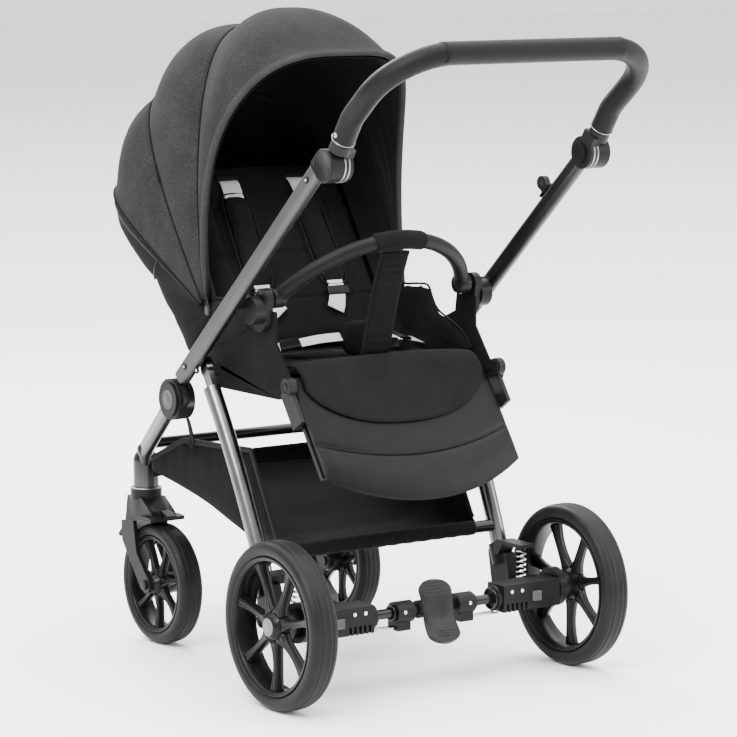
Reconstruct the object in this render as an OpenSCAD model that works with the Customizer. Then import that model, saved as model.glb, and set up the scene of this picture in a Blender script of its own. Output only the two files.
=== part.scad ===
// Full-size baby stroller: folding chassis, swivel front wheels, sprung rear wheels,
// seat unit with reclining backrest, footrest, bumper bar and three-panel canopy.
// +Z is up, -Y is the handle side, +Y is the swivel-wheel side, -X is the left side.

/* [Wheels] */
// Diameter of the rear wheels
rear_wheel_d = 260; // [240:5:280]
// Width of the rear tyres
rear_wheel_w = 46; // [40:1:48]
// Diameter of the front wheels
front_wheel_d = 200; // [180:5:200]
// Width of the front tyres
front_wheel_w = 42; // [34:1:44]
// Distance between the rear wheels' middle planes
rear_track = 552; // [550:1:560]
// Distance between the front wheels' swivel axes
front_track = 355; // [350:1:360]
// Number of spokes in each wheel
spokes = 7; // [5:1:9]

/* [Chassis] */
// Height of the oval side tubes' section
tube_h = 30; // [28:1:30]
// Thickness of the oval side tubes' section
tube_t = 20; // [18:1:20]
// Wall of the aluminium tubes
tube_wall = 2; // [1.5:0.5:3]
// Distance from the middle to the side tubes
side_tube_x = 248; // [248:1:252]
// Diameter of the rear legs
leg_d = 27; // [24:1:28]
// Diameter of the rear axle tube
axle_tube_d = 16; // [14:1:18]

/* [Handle] */
// Distance from the middle to the handle's arms
handle_arm_x = 240; // [238:1:242]
// Radius of the handle's corners at the tube's middle line
handle_corner_r = 98; // [80:1:110]
// Diameter of the handle's core tube
handle_core_d = 28; // [24:1:30]
// Diameter over the leather grip
handle_grip_d = 35; // [32:1:38]

/* [Seat] */
// Half width of the seat cover
seat_half_w = 188; // [180:1:188]
// Half width of the space between the seat's wings
seat_in_half_w = 174; // [165:1:176]
// Rise of the bumper bar above its pivots
bumper_rise = 118; // [100:1:125]
// Diameter of the bumper bar
bumper_d = 24; // [20:1:26]

/* [Canopy] */
// Half width of the canopy
canopy_half_w = 195; // [194:1:200]
// Thickness of the canopy panels
canopy_t = 3; // [2:0.5:4]

/* [Hidden] */
LEFT = -1;
RIGHT = 1;
$fn = 64;

// The box of the whole stroller is centred on the origin by this shift along Y
frame_y = 40;
// Running clearance between a shaft and its hole
run = 0.05;
// Gap between faces that pass each other
gap = 0.5;

// Axes and pivots as [y, z] points in the side view
leg_pivot = [27, 487];
hub_c = [92, 434];
handle_pivot = [-345, 830];
rear_axle = [-250, 130];
front_axle = [262, 100];
swivel_y = 311;
arm_pivot = [-150, 118];
axle_tube_c = [-257, 126];
socket_c = [-88, 590];
bumper_pivot = [-92, 607];
footrest_pivot = [-160, 478];
backrest_pivot = [72, 492];
canopy_pivot = [90, 571];

// Side tubes: direction in the side view and their two ends
tube_a = 138;
tube_low = [75.2, 469];
tube_len = 528;
tube_in_x = side_tube_x - tube_t / 2;
tube_out_x = side_tube_x + tube_t / 2;

// Rear legs lie on a wide arc in the side view
leg_r = 1810;
leg_a0 = 147.5;
leg_a1 = 158.3;
leg_c = [leg_pivot[0] - leg_r * cos(leg_a0), leg_pivot[1] - leg_r * sin(leg_a0)];
leg_end = [leg_c[0] + leg_r * cos(leg_a1), leg_c[1] + leg_r * sin(leg_a1)];
leg_x = 234;
leg_tilt = 1.4;
leg_cap_len = 32;
// The lug's bore is wide enough for its tilt on the straight pin
lug_bore = 4.25;

// Turns a drawing in the XY plane into the side view, extruding along +X
module side_view() rotate([90, 0, 90]) children();

// Places a part of the right side, or its mirror image for the left side
module side(s) translate([0, frame_y, 0]) mirror([s < 0 ? 1 : 0, 0, 0]) children();

// Places both mirror images of a part
module both() {
    side(LEFT) children();
    side(RIGHT) children();
}

// Places a part that lies on the middle plane
module centred() translate([0, frame_y, 0]) children();

// Puts the local origin at a side-view point and turns +Y to an angle above the horizon
module at(p, a = 0) translate([0, p[0], p[1]]) rotate([a, 0, 0]) children();

// A disc with its axis along X
module x_disc(p, r, x0, x1) translate([x0, p[0], p[1]]) side_view() cylinder(r = r, h = x1 - x0);

// A box between two corners
module block(lo, hi) translate(lo) cube(hi - lo);

// An outline in the side view, extruded from x0 to x1
module side_plate(points, x0, x1) translate([x0, 0, 0]) side_view() linear_extrude(x1 - x0)
    polygon(points);

// Oval section with its long side along X
module oval(h, t) {
    square([h - t, t], center = true);
    for (k = [-1, 1]) translate([k * (h - t) / 2, 0]) circle(d = t);
}

// Straight oval bar between two points, its long side in the vertical plane
module oval_bar(p, q, h, t) {
    d = q - p;
    translate(p) rotate([0, acos(d[2] / norm(d)), atan2(d[1], d[0])])
        linear_extrude(norm(d)) oval(h, t);
}

// ---------------------------------------------------------------- rear chassis

module leg_frame() translate([leg_x, leg_pivot[0], leg_pivot[1]]) rotate([0, leg_tilt, 0])
    translate([0, -leg_pivot[0], -leg_pivot[1]]) children();

module leg_sweep(a0, a1) at(leg_c) side_view() rotate([0, 0, a0])
    rotate_extrude(angle = a1 - a0, $fn = 720) translate([leg_r, 0]) children();

module rear_leg(s) side(s) color("silver") {
    start_a = leg_a0 + leg_cap_len / leg_r * 180 / PI;
    lug_lo = 225.5 - leg_x;
    lug_hi = 237 - leg_x;
    leg_frame() {
        difference() {
            leg_sweep(start_a, leg_a1) circle(d = leg_d, $fn = 48);
            leg_sweep(start_a + 0.3, leg_a1 + 0.1) circle(d = leg_d - 2 * tube_wall, $fn = 48);
        }
        difference() {
            union() {
                at(leg_pivot, leg_a0 + 90.5) block([lug_lo, 0, -9], [lug_hi, leg_cap_len + 4, 9]);
                x_disc(leg_pivot, 11, lug_lo, lug_hi);
            }
            x_disc(leg_pivot, lug_bore, lug_lo - 2, lug_hi + 2);
        }
    }
}

module axle_tube() centred() color("dimgray") translate([-150, 0, 0]) at(axle_tube_c)
    side_view() difference() {
        cylinder(d = axle_tube_d, h = 300);
        translate([0, 0, -1]) cylinder(d = axle_tube_d - 3, h = 302);
    }

// The housing carries the leg's foot, the spring's upper seat and the wheel release button
module axle_housing(s) side(s) color([0.12, 0.12, 0.13]) difference() {
    union() {
        block([124, -279, 105], [235, -235, 148]);
        x_disc(axle_tube_c, 20, 116, 130);
        at(leg_end, leg_a1 + 90) translate([leg_x - 7.5, 0, 0]) rotate([-90, 0, 0])
            cylinder(d = 36, h = 34);
        side_plate([[-112, 172], [-158, 172], [-166, 150], [-172, 116], [-236, 114], [-236, 104],
            [-140, 104], [-122, 118]], 216, 234);
        side_plate([[-140, 170], [-140, 194], [-214, 194], [-214, 188], [-164, 188], [-152, 170]],
            206, 234);
    }
    x_disc(axle_tube_c, axle_tube_d / 2, 100, 151);
    x_disc(arm_pivot, 5 + run, 210, 240);
    for (k = [0 : 4]) block([130 + 9 * k, -285, 100], [134 + 9 * k, -271, 118]);
    block([179.6, -285, 117.6], [196.4, -262, 134.4]);
    leg_frame() leg_sweep(leg_a0, leg_a1) circle(d = 60, $fn = 48);
}

module rear_cross_tube() centred() color("dimgray") x_disc([-120, 212], 10, -215, 215);

module brake_linkage() both() color([0.15, 0.15, 0.16]) {
    difference() {
        union() {
            x_disc(axle_tube_c, 17, 42, 74);
            block([48, -268, 98], [72, -240, 118]);
        }
        x_disc(axle_tube_c, axle_tube_d / 2, 30, 80);
    }
    for (y = [-262, -251]) x_disc([y, 103], 1.6, 72, 124);
}

// Fabric basket: open tray with sloping floor between the front tubes and the rear cross tube
basket_outline = [[276, 308], [172, 354], [-31, 362], [-106, 226], [-106, 199], [24, 209],
    [120, 240], [278, 277]];
basket_inside = [[273, 400], [-28, 400], [-102, 225], [-102, 203], [23, 213], [119, 244],
    [274, 281]];
module basket() centred() color([0.1, 0.1, 0.11]) difference() {
    side_plate(basket_outline, -190, 190);
    side_plate(basket_inside, -187, 187);
}

module suspension_arm(s) side(s) color([0.15, 0.15, 0.16]) {
    x_disc(arm_pivot, 5, 214, 240);
    x_disc(arm_pivot, 13, 236, 248);
    side_plate([[-150, 131], [-150, 105], [-250, 112], [-250, 148]], 236, 248);
    x_disc(rear_axle, 31, 236, 250);
    x_disc(rear_axle, 6, 248, 294);
    block([206, -212, 119], [240, -188, 127]);
}

// Helical coil spring standing between the arm's seat and the housing's shelf
spring_c = [217, -200];
spring_lo = 127;
spring_hi = 188;
spring_r = 7;
wire_r = 1.4;
spring_turns = 7;
function coil_ring(t, sides) = let (h = spring_hi - spring_lo - 2 * wire_r - 0.4, a = 360 * spring_turns * t)
    [for (k = [0 : sides - 1]) let (b = 360 * k / sides, r = spring_r + wire_r * cos(b))
        [spring_c[0] + r * cos(a), spring_c[1] + r * sin(a),
            spring_lo + wire_r + 0.2 + h * t + wire_r * sin(b)]];
function grid_faces(rows, sides) = concat(
    [[for (k = [0 : sides - 1]) k]],
    [for (i = [0 : rows - 2], k = [0 : sides - 1]) let (m = (k + 1) % sides)
        [i * sides + k, (i + 1) * sides + k, (i + 1) * sides + m, i * sides + m]],
    [[for (k = [sides - 1 : -1 : 0]) (rows - 1) * sides + k]]);
module coil_spring(s) side(s) color("silver") {
    rows = 14 * spring_turns;
    polyhedron([for (i = [0 : rows - 1]) each coil_ring(i / (rows - 1), 6)], grid_faces(rows, 6));
}

module wheel_release(s) side(s) color("gray") block([180, -283, 118], [196, -267, 134]);

// Rocker pedal that turns on the axle tube
module brake_pedal() centred() color([0.2, 0.2, 0.21]) difference() {
    union() {
        x_disc(axle_tube_c, 14, -30, 30);
        side_plate([[-247, 163], [-256, 168], [-274, 148], [-280, 122], [-290, 96], [-304, 80],
            [-298, 73], [-282, 90], [-271, 112], [-264, 140]], -27.5, 27.5);
    }
    x_disc(axle_tube_c, axle_tube_d / 2 + run, -40, 40);
}

// ---------------------------------------------------------------- wheels

// Tyre with three grooves; the wheel modules are centred on the origin, axis along X
module tyre(d, w, depth) side_view() rotate_extrude($fn = 128) difference() {
    union() {
        translate([d / 2 - depth, -w / 2 + 3]) square([depth, w - 6]);
        translate([d / 2 - depth, -w / 2]) square([depth - 5, w]);
    }
    for (k = [-1 : 1]) translate([d / 2 - 2, k * w / 5 - 1]) square([3, 2]);
}

module rim(d, w, hub_half, hub_r, bore_r) side_view() difference() {
    union() {
        rotate_extrude($fn = 128) translate([d / 2 - 7, -w / 2 + 3]) square([7, w - 6]);
        translate([0, 0, -hub_half]) cylinder(r = hub_r, h = 2 * hub_half);
        for (k = [0 : spokes - 1]) rotate([0, 0, 360 * k / spokes]) translate([0, 0, -6])
            linear_extrude(12) polygon([[hub_r - 4, -0.4 * hub_r], [d / 2 - 4, -7],
                [d / 2 - 4, 7], [hub_r - 4, 0.4 * hub_r]]);
    }
    translate([0, 0, -hub_half - 1]) cylinder(r = bore_r, h = 2 * hub_half + 2);
}

module rear_tyre(s) side(s) color([0.1, 0.1, 0.1]) translate([rear_track / 2, 0, 0])
    at(rear_axle) tyre(rear_wheel_d, rear_wheel_w, 26);
module rear_rim(s) side(s) color([0.13, 0.13, 0.14]) translate([rear_track / 2, 0, 0])
    at(rear_axle) rim(rear_wheel_d - 52, 42, 23.5, 27, 6 + run);
module front_tyre(s) side(s) color([0.1, 0.1, 0.1]) translate([front_track / 2, 0, 0])
    at(front_axle) tyre(front_wheel_d, front_wheel_w, 22);
module front_rim(s) side(s) color([0.13, 0.13, 0.14]) translate([front_track / 2, 0, 0])
    at(front_axle) rim(front_wheel_d - 44, 38, 24, 21, 5 + run);

// ---------------------------------------------------------------- casters

lever_c = [250, 220];
module caster_fork(s) side(s) color([0.11, 0.11, 0.12]) translate([front_track / 2, 0, 0])
    difference() {
        union() {
            translate([0, swivel_y, 236]) cylinder(d = 12, h = 56);
            translate([0, swivel_y, 236]) cylinder(d = 52, h = 18);
            side_plate([[288, 240], [334, 240], [343, 190], [332, 183], [300, 206], [252, 212],
                [258, 220]], -23, 23);
            at(front_axle) side_view() rotate([0, 0, 40]) rotate_extrude(angle = 60)
                translate([108, -32.5]) square([6, 65]);
            for (k = [-1, 1]) mirror([k < 0 ? 1 : 0, 0, 0]) {
                side_plate([[250, 106], [290, 150], [300, 205], [338, 198], [336, 165],
                    [276, 90]], 26, 33);
                x_disc(front_axle, 14, 26, 33);
                x_disc(front_axle, 8, 33, 36);
                x_disc(lever_c, 5, 9.3, 13);
                side_plate([[245, 220], [245, 212], [262, 212], [262, 222]], 9.3, 13);
            }
            x_disc(front_axle, 5, -34, 34);
        }
        x_disc(lever_c, 2 + run, -20, 20);
        block([-9.3, 225, 211], [9.3, 262, 230]);
    }

module swivel_lever(s) side(s) color([0.2, 0.2, 0.2]) translate([front_track / 2, 0, 0]) {
    x_disc(lever_c, 4, -8.8, 8.8);
    x_disc(lever_c, 2, -13, 13);
    side_plate([[250, 224], [250, 218], [230, 212], [228, 217]], -8.8, 8.8);
}

// ---------------------------------------------------------------- front frame

front_tube_start = [243, 123, 416];
front_tube_end = [189, 292, 320];
housing_r = 21;
module front_tube(s) side(s) color([0.3, 0.3, 0.31]) difference() {
    union() {
        oval_bar(front_tube_start, front_tube_end, tube_h, tube_t);
        oval_bar(front_tube_end, [front_track / 2, swivel_y, 290], tube_h, tube_t);
        translate(front_tube_end) sphere(d = tube_t + 8);
        translate([front_track / 2, swivel_y, 254 + gap]) cylinder(r = housing_r, h = 44);
        translate([front_track / 2, swivel_y, 298 + gap]) sphere(r = housing_r);
        x_disc(hub_c, 33, 234, 250);
        at(hub_c, -29.7) block([234, 10, -13], [250, 44, 13]);
    }
    translate([front_track / 2, swivel_y, 250]) cylinder(d = 12 + 2 * run, h = 48);
    x_disc(hub_c, 5 + run, 230, 252);
}

module front_cross_tube() centred() color("dimgray") x_disc([292, 330], 9, -179, 179);

// ---------------------------------------------------------------- upper frame

module side_tube(s) side(s) color([0.36, 0.36, 0.37]) at(tube_low, tube_a)
    translate([side_tube_x, 0, 0]) rotate([-90, 90, 0]) linear_extrude(tube_len) difference() {
        oval(tube_h, tube_t);
        oval(tube_h - 2 * tube_wall, tube_t - 2 * tube_wall);
    }

module hub_shells() both() color([0.16, 0.16, 0.17]) {
    x_disc(hub_c, 33, 250 + gap, 262);
    x_disc(hub_c, 27, 262, 266);
    x_disc(hub_c, 5, 238, 251);
    at(hub_c, tube_a) block([250 + gap, 10, 0], [tube_out_x, 36, 29]);
}

// Each bracket hangs from its side tube and holds the pin that the rear leg turns on
module leg_brackets() both() color([0.16, 0.16, 0.17]) {
    x_disc(leg_pivot, 12, 213, 225);
    x_disc(leg_pivot, 4, 220, 237);
    at(leg_pivot, tube_a) block([213, -14, -24], [225, 14, 0]);
    at(leg_pivot, tube_a) block([213, -14, -24], [tube_in_x, 14, -14.5]);
}

module seat_sockets() both() color([0.14, 0.14, 0.15]) {
    x_disc(socket_c, 22, 206, 226);
    at(socket_c, tube_a) block([222, -14, -21], [tube_in_x, 14, -14.5]);
}

module handle_knuckles() both() color([0.16, 0.16, 0.17]) {
    x_disc(handle_pivot, 25.5, 238, 258);
    x_disc(handle_pivot, 6, 228, 239);
    at(handle_pivot, tube_a) block([tube_in_x + 2, -25.7, -27.5], [tube_out_x - 2, -8, 0]);
}

// Bracket on the right side tube with a ring for a cup holder
accessory_c = [-216, 774];
module accessory_bracket() side(RIGHT) color([0.12, 0.12, 0.12]) difference() {
    union() {
        x_disc(accessory_c, 11, 242, 252);
        at(accessory_c, tube_a) block([242, -9, 0], [252, 9, 16.5]);
        at(accessory_c, tube_a) block([240, -16, 13.5], [256, 16, 16.5]);
    }
    x_disc(accessory_c, 6, 230, 260);
}

// ---------------------------------------------------------------- handle

handle_arm_a = 124.2;
handle_bend = 87;
handle_bar_a = 141.1;
handle_flat = 53;
handle_sleeve = 58;
handle_bend_r = 60;
bar_x = handle_arm_x - handle_corner_r;

// Directions in the side view: along an angle, and square to it
function dir(a) = [cos(a), sin(a)];
function nrm(a) = [-sin(a), cos(a)];

// One station of the handle's path: position, tangent and a normal
function side_row(p, a) = [[handle_arm_x, p[0], p[1]], [0, cos(a), sin(a)], [0, -sin(a), cos(a)]];
function corner_row(p, c) = let (q = p + (handle_flat + handle_corner_r * sin(c)) * dir(handle_bar_a))
    [[bar_x + handle_corner_r * cos(c), q[0], q[1]],
        [-sin(c), cos(c) * cos(handle_bar_a), cos(c) * sin(handle_bar_a)],
        [0, -sin(handle_bar_a), cos(handle_bar_a)]];
function mirrored_row(row) = [[-row[0][0], row[0][1], row[0][2]],
    [row[1][0], -row[1][1], -row[1][2]], row[2]];

// The handle's path: arm, slight bend, flat stretch and corner, then the same mirrored
turn = handle_bar_a - handle_arm_a;
trim = handle_bend_r * tan(turn / 2);
bend_p = handle_pivot + handle_bend * dir(handle_arm_a);
arc_c = bend_p - trim * dir(handle_arm_a) + handle_bend_r * nrm(handle_arm_a);
half_path = concat(
    [side_row(handle_pivot + handle_sleeve * dir(handle_arm_a), handle_arm_a)],
    [for (a = [0 : turn / 4 : turn]) side_row(arc_c - handle_bend_r * nrm(handle_arm_a + a),
        handle_arm_a + a)],
    [for (c = [0 : 9 : 90]) corner_row(bend_p, c)]);
path = concat(half_path, [for (i = [len(half_path) - 1 : -1 : 0]) mirrored_row(half_path[i])]);
sides = 20;
function path_ring(row, d) = let (r = d / 2 / cos(90 / sides), n2 = cross(row[1], row[2]))
    [for (k = [0 : sides - 1]) let (b = 360 * k / sides)
        row[0] + r * cos(b) * row[2] + r * sin(b) * n2];

module handle_tube() centred() color("gray")
    polyhedron([for (row = path) each path_ring(row, handle_core_d)],
        grid_faces(len(path), sides));

// Leather grip: a sleeve around the core tube over its whole length
module handle_grip() centred() color([0.13, 0.13, 0.13]) {
    m = len(path);
    inner = m * sides;
    wall_faces = [for (i = [0 : m - 2], k = [0 : sides - 1]) let (n = (k + 1) % sides)
        [i * sides + k, (i + 1) * sides + k, (i + 1) * sides + n, i * sides + n]];
    end_faces = [for (k = [0 : sides - 1]) let (n = (k + 1) % sides)
        each [[k, n, inner + n, inner + k],
            [inner - sides + n, inner - sides + k, 2 * inner - sides + k, 2 * inner - sides + n]]];
    polyhedron(concat([for (row = path) each path_ring(row, handle_grip_d)],
        [for (row = path) each path_ring(row, handle_core_d)]),
        concat(wall_faces, [for (f = wall_faces) [for (k = [3 : -1 : 0]) f[k] + inner]],
            end_faces));
}

module handle_joints() both() color([0.5, 0.5, 0.52]) difference() {
    union() {
        x_disc(handle_pivot, 25.5, 221, 238 - gap);
        at(handle_pivot, handle_arm_a) block([221, 0, -14], [238 - gap, 36, 14]);
        at(handle_pivot, handle_arm_a) translate([handle_arm_x, 28, 0]) rotate([-90, 0, 0])
            cylinder(d = 33, h = handle_sleeve - 28);
    }
    x_disc(handle_pivot, 15.5, 219, 227);
    x_disc(handle_pivot, 6 + run, 222, 239);
}

module handle_button(s) side(s) color([0.14, 0.14, 0.14]) x_disc(handle_pivot, 15, 215, 223);

// ---------------------------------------------------------------- seat

module seat_shell() {
    centred() color([0.12, 0.12, 0.13]) block([-193, -118, 452], [193, 80, 458]);
    both() color([0.12, 0.12, 0.13]) difference() {
        side_plate([[-172, 468], [-172, 488], [-150, 490], [-112, 540], [-112, 588], [-62, 588],
            [-58, 560], [50, 515], [84, 515], [84, 452], [-118, 452]], seat_half_w + gap, 193);
        x_disc(footrest_pivot, 4 + run, 180, 200);
        x_disc(backrest_pivot, 4 + run, 180, 200);
    }
}

// Cushion between two wings; the wings rise beside the child
module seat_cover() centred() color([0.08, 0.08, 0.08]) difference() {
    union() {
        block([-seat_half_w, -118, 458 + gap], [seat_half_w, 44, 500]);
        for (x = [-seat_half_w, seat_in_half_w]) side_plate([[-118, 460], [-118, 505],
            [-80, 537], [-20, 560], [5, 598], [95, 590], [100, 540], [82, 520], [82, 460]], x,
            x + seat_half_w - seat_in_half_w);
    }
    x_disc(backrest_pivot, 7, -200, 200);
}

module seat_adapters() both() color([0.14, 0.14, 0.15]) {
    x_disc(bumper_pivot, 17, 193, 206 - gap);
    x_disc([-84, 574], 19, 193, 206 - gap);
    side_plate([[-109, 607], [-103, 574], [-65, 574], [-75, 607]], 193, 206 - gap);
    x_disc(bumper_pivot, 4, 178, 194);
}

module crotch_strap() centred() color([0.1, 0.1, 0.1])
    side_plate([[-100, 501], [-106, 501], [-161, 674], [-155, 676]], -26, 26);

module harness_buckle() centred() color([0.1, 0.1, 0.1]) difference() {
    block([-26, -66, 501], [26, -46, 548]);
    translate([0, -60, 528]) rotate([90, 0, 0]) cylinder(r = 9.4, h = 10);
}

module buckle_button() centred() color([0.3, 0.3, 0.3]) translate([0, -64, 528])
    rotate([90, 0, 0]) cylinder(r = 9, h = 5);

// The backrest's own plane: +Y runs up the backrest, +Z towards the child
back_a = 57.8;
back_p = [60, 500];
module back_plane() at(back_p, back_a) children();

module backrest_shell() centred() color([0.12, 0.12, 0.13]) {
    back_plane() translate([0, 0, -33]) linear_extrude(8 - gap)
        polygon([[-170, 4], [170, 4], [170, 250], [145, 345], [-145, 345], [-170, 250]]);
    for (k = [0, 1]) mirror([k, 0, 0]) {
        x_disc(backrest_pivot, 4, 172, 192);
        x_disc(backrest_pivot, 9, 163, 173);
        back_plane() block([163, 0, -33], [170, 30, -12]);
    }
}

module backrest_pad() centred() color([0.08, 0.08, 0.08])
    back_plane() block([-162, 6, -25], [162, 350, 0]);

module shoulder_harness() both() color([0.15, 0.15, 0.15]) {
    back_plane() block([42, 110, gap], [98, 285, 12]);
    back_plane() block([52, 60, gap], [86, 110, 3]);
    back_plane() block([52, 285, gap], [86, 302, 3]);
}

// Shell behind the backrest, open towards the child and the canopy
module rear_cover() centred() color([0.1, 0.1, 0.1]) difference() {
    side_plate([[112, 578], [430, 740], [440, 715], [285, 600], [170, 468], [104, 490]],
        -188, 188);
    side_plate([[108, 496], [168, 475], [281, 604], [433, 712], [424, 745], [112, 590],
        [90, 540]], -183, 183);
}

module bumper_bar() centred() color([0.2, 0.2, 0.2]) {
    half = 176;
    r = (half * half + bumper_rise * bumper_rise) / (2 * bumper_rise);
    low = r - bumper_rise;
    end_a = atan2(low, half);
    for (k = [0, 1]) mirror([k, 0, 0]) difference() {
        x_disc(bumper_pivot, 15, 166, 188);
        x_disc(bumper_pivot, 4 + run, 176, 190);
    }
    difference() {
        at(bumper_pivot, 132.6) translate([0, -low, 0]) {
            rotate([0, 0, end_a]) rotate_extrude(angle = 180 - 2 * end_a, $fn = 128)
                translate([r, 0]) circle(d = bumper_d);
            rotate([0, 0, 76]) rotate_extrude(angle = 28, $fn = 128)
                translate([r, 0]) circle(d = bumper_d + 8);
        }
        for (x = [-190, 176]) x_disc(bumper_pivot, 4 + run, x, x + 14);
    }
}

// The footrest's own plane: +Y runs down the apron, +Z is behind it
module footrest_plane() at([-139, 498], 235.4) children();

module footrest_board() centred() color([0.15, 0.15, 0.15]) {
    footrest_plane() block([-183, 60, 16], [183, 178, 23]);
    for (k = [0, 1]) mirror([k, 0, 0]) {
        x_disc(footrest_pivot, 14, 193 + gap, 204);
        x_disc(footrest_pivot, 4, 186, 194);
        footrest_plane() block([193 + gap, 28, -6], [200, 90, 23]);
        footrest_plane() block([182, 66, 16], [200, 90, 23]);
    }
}

module apron() centred() color([0.17, 0.17, 0.17]) footrest_plane()
    linear_extrude(15.5) intersection() {
        translate([-184, 8]) square([368, 240]);
        translate([0, 237 - 351.5]) circle(r = 351.5, $fn = 256);
    }

// ---------------------------------------------------------------- canopy

// Fan angles of the zip line and the two seams, and of the rim at its foot and its crown
zip_a = 27;
seam2_a = 52.6;
seam1_a = 79.6;
rim_foot_a = 84;
rim_crown_a = 106.4;
FAN = [zip_a, seam2_a, seam1_a, rim_crown_a];
FAN_R = [405, 483, 486, 426];
FAN_N = [6, 3, 2.4, 3.4];
foot_a = 2.5;

// Half of a superellipse: [x, r] for direction f between 0 and 180
function hoop(f, w, r, n) = let (k = pow(pow(abs(cos(f)), n) + pow(sin(f), n), 1 / n))
    [w * cos(f) / k, r * sin(f) / k];

// A canopy point at fan angle a (crown value), hoop direction f and inset from the outside
function canopy_point(a, f, inset) = let (
    r = lookup(a, [for (i = [0 : 3]) [FAN[i], FAN_R[i]]]),
    n = lookup(a, [for (i = [0 : 3]) [FAN[i], FAN_N[i]]]),
    h = hoop(f, canopy_half_w - inset, r - inset, n),
    lift = max(0, a - seam1_a) / (rim_crown_a - seam1_a),
    rim_a = rim_foot_a + (rim_crown_a - rim_foot_a) * pow(h[1] / r, 2),
    b = lift > 0 ? seam1_a + lift * (rim_a - seam1_a) : a)
    [h[0], canopy_pivot[0] + h[1] * cos(b), canopy_pivot[1] + h[1] * sin(b)];

// Closed band between two fan angles and two insets
module canopy_band(a0, a1, in0, in1, rows = 4, cols = 28) {
    ring = 2 * (rows + 1);
    function band_ring(j) = let (f = 180 - foot_a - (180 - 2 * foot_a) * j / cols)
        concat([for (i = [0 : rows]) canopy_point(a0 + (a1 - a0) * i / rows, f, in0)],
            [for (i = [rows : -1 : 0]) canopy_point(a0 + (a1 - a0) * i / rows, f, in1)]);
    polyhedron([for (j = [0 : cols]) each band_ring(j)], grid_faces(cols + 1, ring));
}

module canopy_rear() centred() color([0.3, 0.3, 0.3])
    canopy_band(zip_a, seam2_a - 0.3, 0, canopy_t);
module canopy_mid() centred() color([0.3, 0.3, 0.3])
    canopy_band(seam2_a + 0.3, seam1_a - 0.3, 0, canopy_t);
module canopy_front() centred() color([0.3, 0.3, 0.3])
    canopy_band(seam1_a + 0.3, rim_crown_a, 0, canopy_t);

// Each foot of a bow stands on a slim arm, with an eye on the canopy's axis
bow_in = canopy_t + 0.8;
bow_out = canopy_t + 3.6;
arm_len = 18;
module bow_eye(x) x_disc(canopy_pivot, 9, x, x + 1.4);
module bow_arm(a, x) at(canopy_pivot, a) block([x, 0, -0.6], [x + 1.4, arm_len, 0.6]);

module canopy_mid_bow() centred() color([0.1, 0.1, 0.1]) {
    canopy_band(seam2_a - 0.7, seam2_a + 0.7, bow_in, bow_out, 1);
    for (k = [0, 1]) mirror([k, 0, 0]) {
        bow_eye(188.5);
        bow_arm(seam2_a, 188.5);
    }
}

module canopy_front_bow() centred() color([0.1, 0.1, 0.1]) {
    canopy_band(seam1_a - 0.7, seam1_a + 0.7, bow_in, bow_out, 1);
    canopy_band(rim_crown_a - 2, rim_crown_a, bow_in + 0.9, bow_out + 0.1, 1);
    for (k = [0, 1]) mirror([k, 0, 0]) {
        bow_eye(190.1);
        bow_arm(seam1_a, 190.1);
        bow_arm(rim_foot_a, 190.1);
    }
}

rear_leg(LEFT);  // rear_leg_left
rear_leg(RIGHT);  // rear_leg_right
axle_tube();
axle_housing(LEFT);  // axle_housing_left
axle_housing(RIGHT);  // axle_housing_right
rear_cross_tube();
brake_linkage();
basket();
side_tube(LEFT);  // side_tube_left
side_tube(RIGHT);  // side_tube_right
hub_shells();
leg_brackets();
seat_sockets();
handle_knuckles();
accessory_bracket();
handle_tube();
handle_grip();
handle_joints();
handle_button(LEFT);  // handle_button_left
handle_button(RIGHT);  // handle_button_right
front_tube(LEFT);  // front_tube_left
front_tube(RIGHT);  // front_tube_right
front_cross_tube();
caster_fork(LEFT);  // caster_fork_left
caster_fork(RIGHT);  // caster_fork_right
swivel_lever(LEFT);  // swivel_lever_left
swivel_lever(RIGHT);  // swivel_lever_right
front_tyre(LEFT);  // front_tyre_left
front_tyre(RIGHT);  // front_tyre_right
front_rim(LEFT);  // front_rim_left
front_rim(RIGHT);  // front_rim_right
rear_tyre(LEFT);  // rear_tyre_left
rear_tyre(RIGHT);  // rear_tyre_right
rear_rim(LEFT);  // rear_rim_left
rear_rim(RIGHT);  // rear_rim_right
suspension_arm(LEFT);  // suspension_arm_left
suspension_arm(RIGHT);  // suspension_arm_right
coil_spring(LEFT);  // spring_left
coil_spring(RIGHT);  // spring_right
wheel_release(LEFT);  // wheel_release_left
wheel_release(RIGHT);  // wheel_release_right
brake_pedal();
seat_shell();
seat_cover();
seat_adapters();
crotch_strap();
harness_buckle();
buckle_button();
backrest_shell();
backrest_pad();
shoulder_harness();
rear_cover();
canopy_rear();
canopy_mid_bow();
canopy_mid();
canopy_front_bow();
canopy_front();
bumper_bar();
footrest_board();
apron();
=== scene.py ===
# %% [markdown]
# # A folding baby stroller, dressed in Blender
# The rigid frame of this stroller comes from exact CAD: tubes, castings, wheels on their axles.
# What is left is what a workshop would call trimming and finishing: the canopy, the seat, the
# apron, the basket, the tyres and the surface of every part.
# Each cell below makes one of these, and the text above it says what it is on the real
# stroller, how it could be made, and why it is made this way here.

# %% Load the frame
import math

import bmesh
import bpy
import numpy as np
from mathutils import Matrix, Vector


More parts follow.
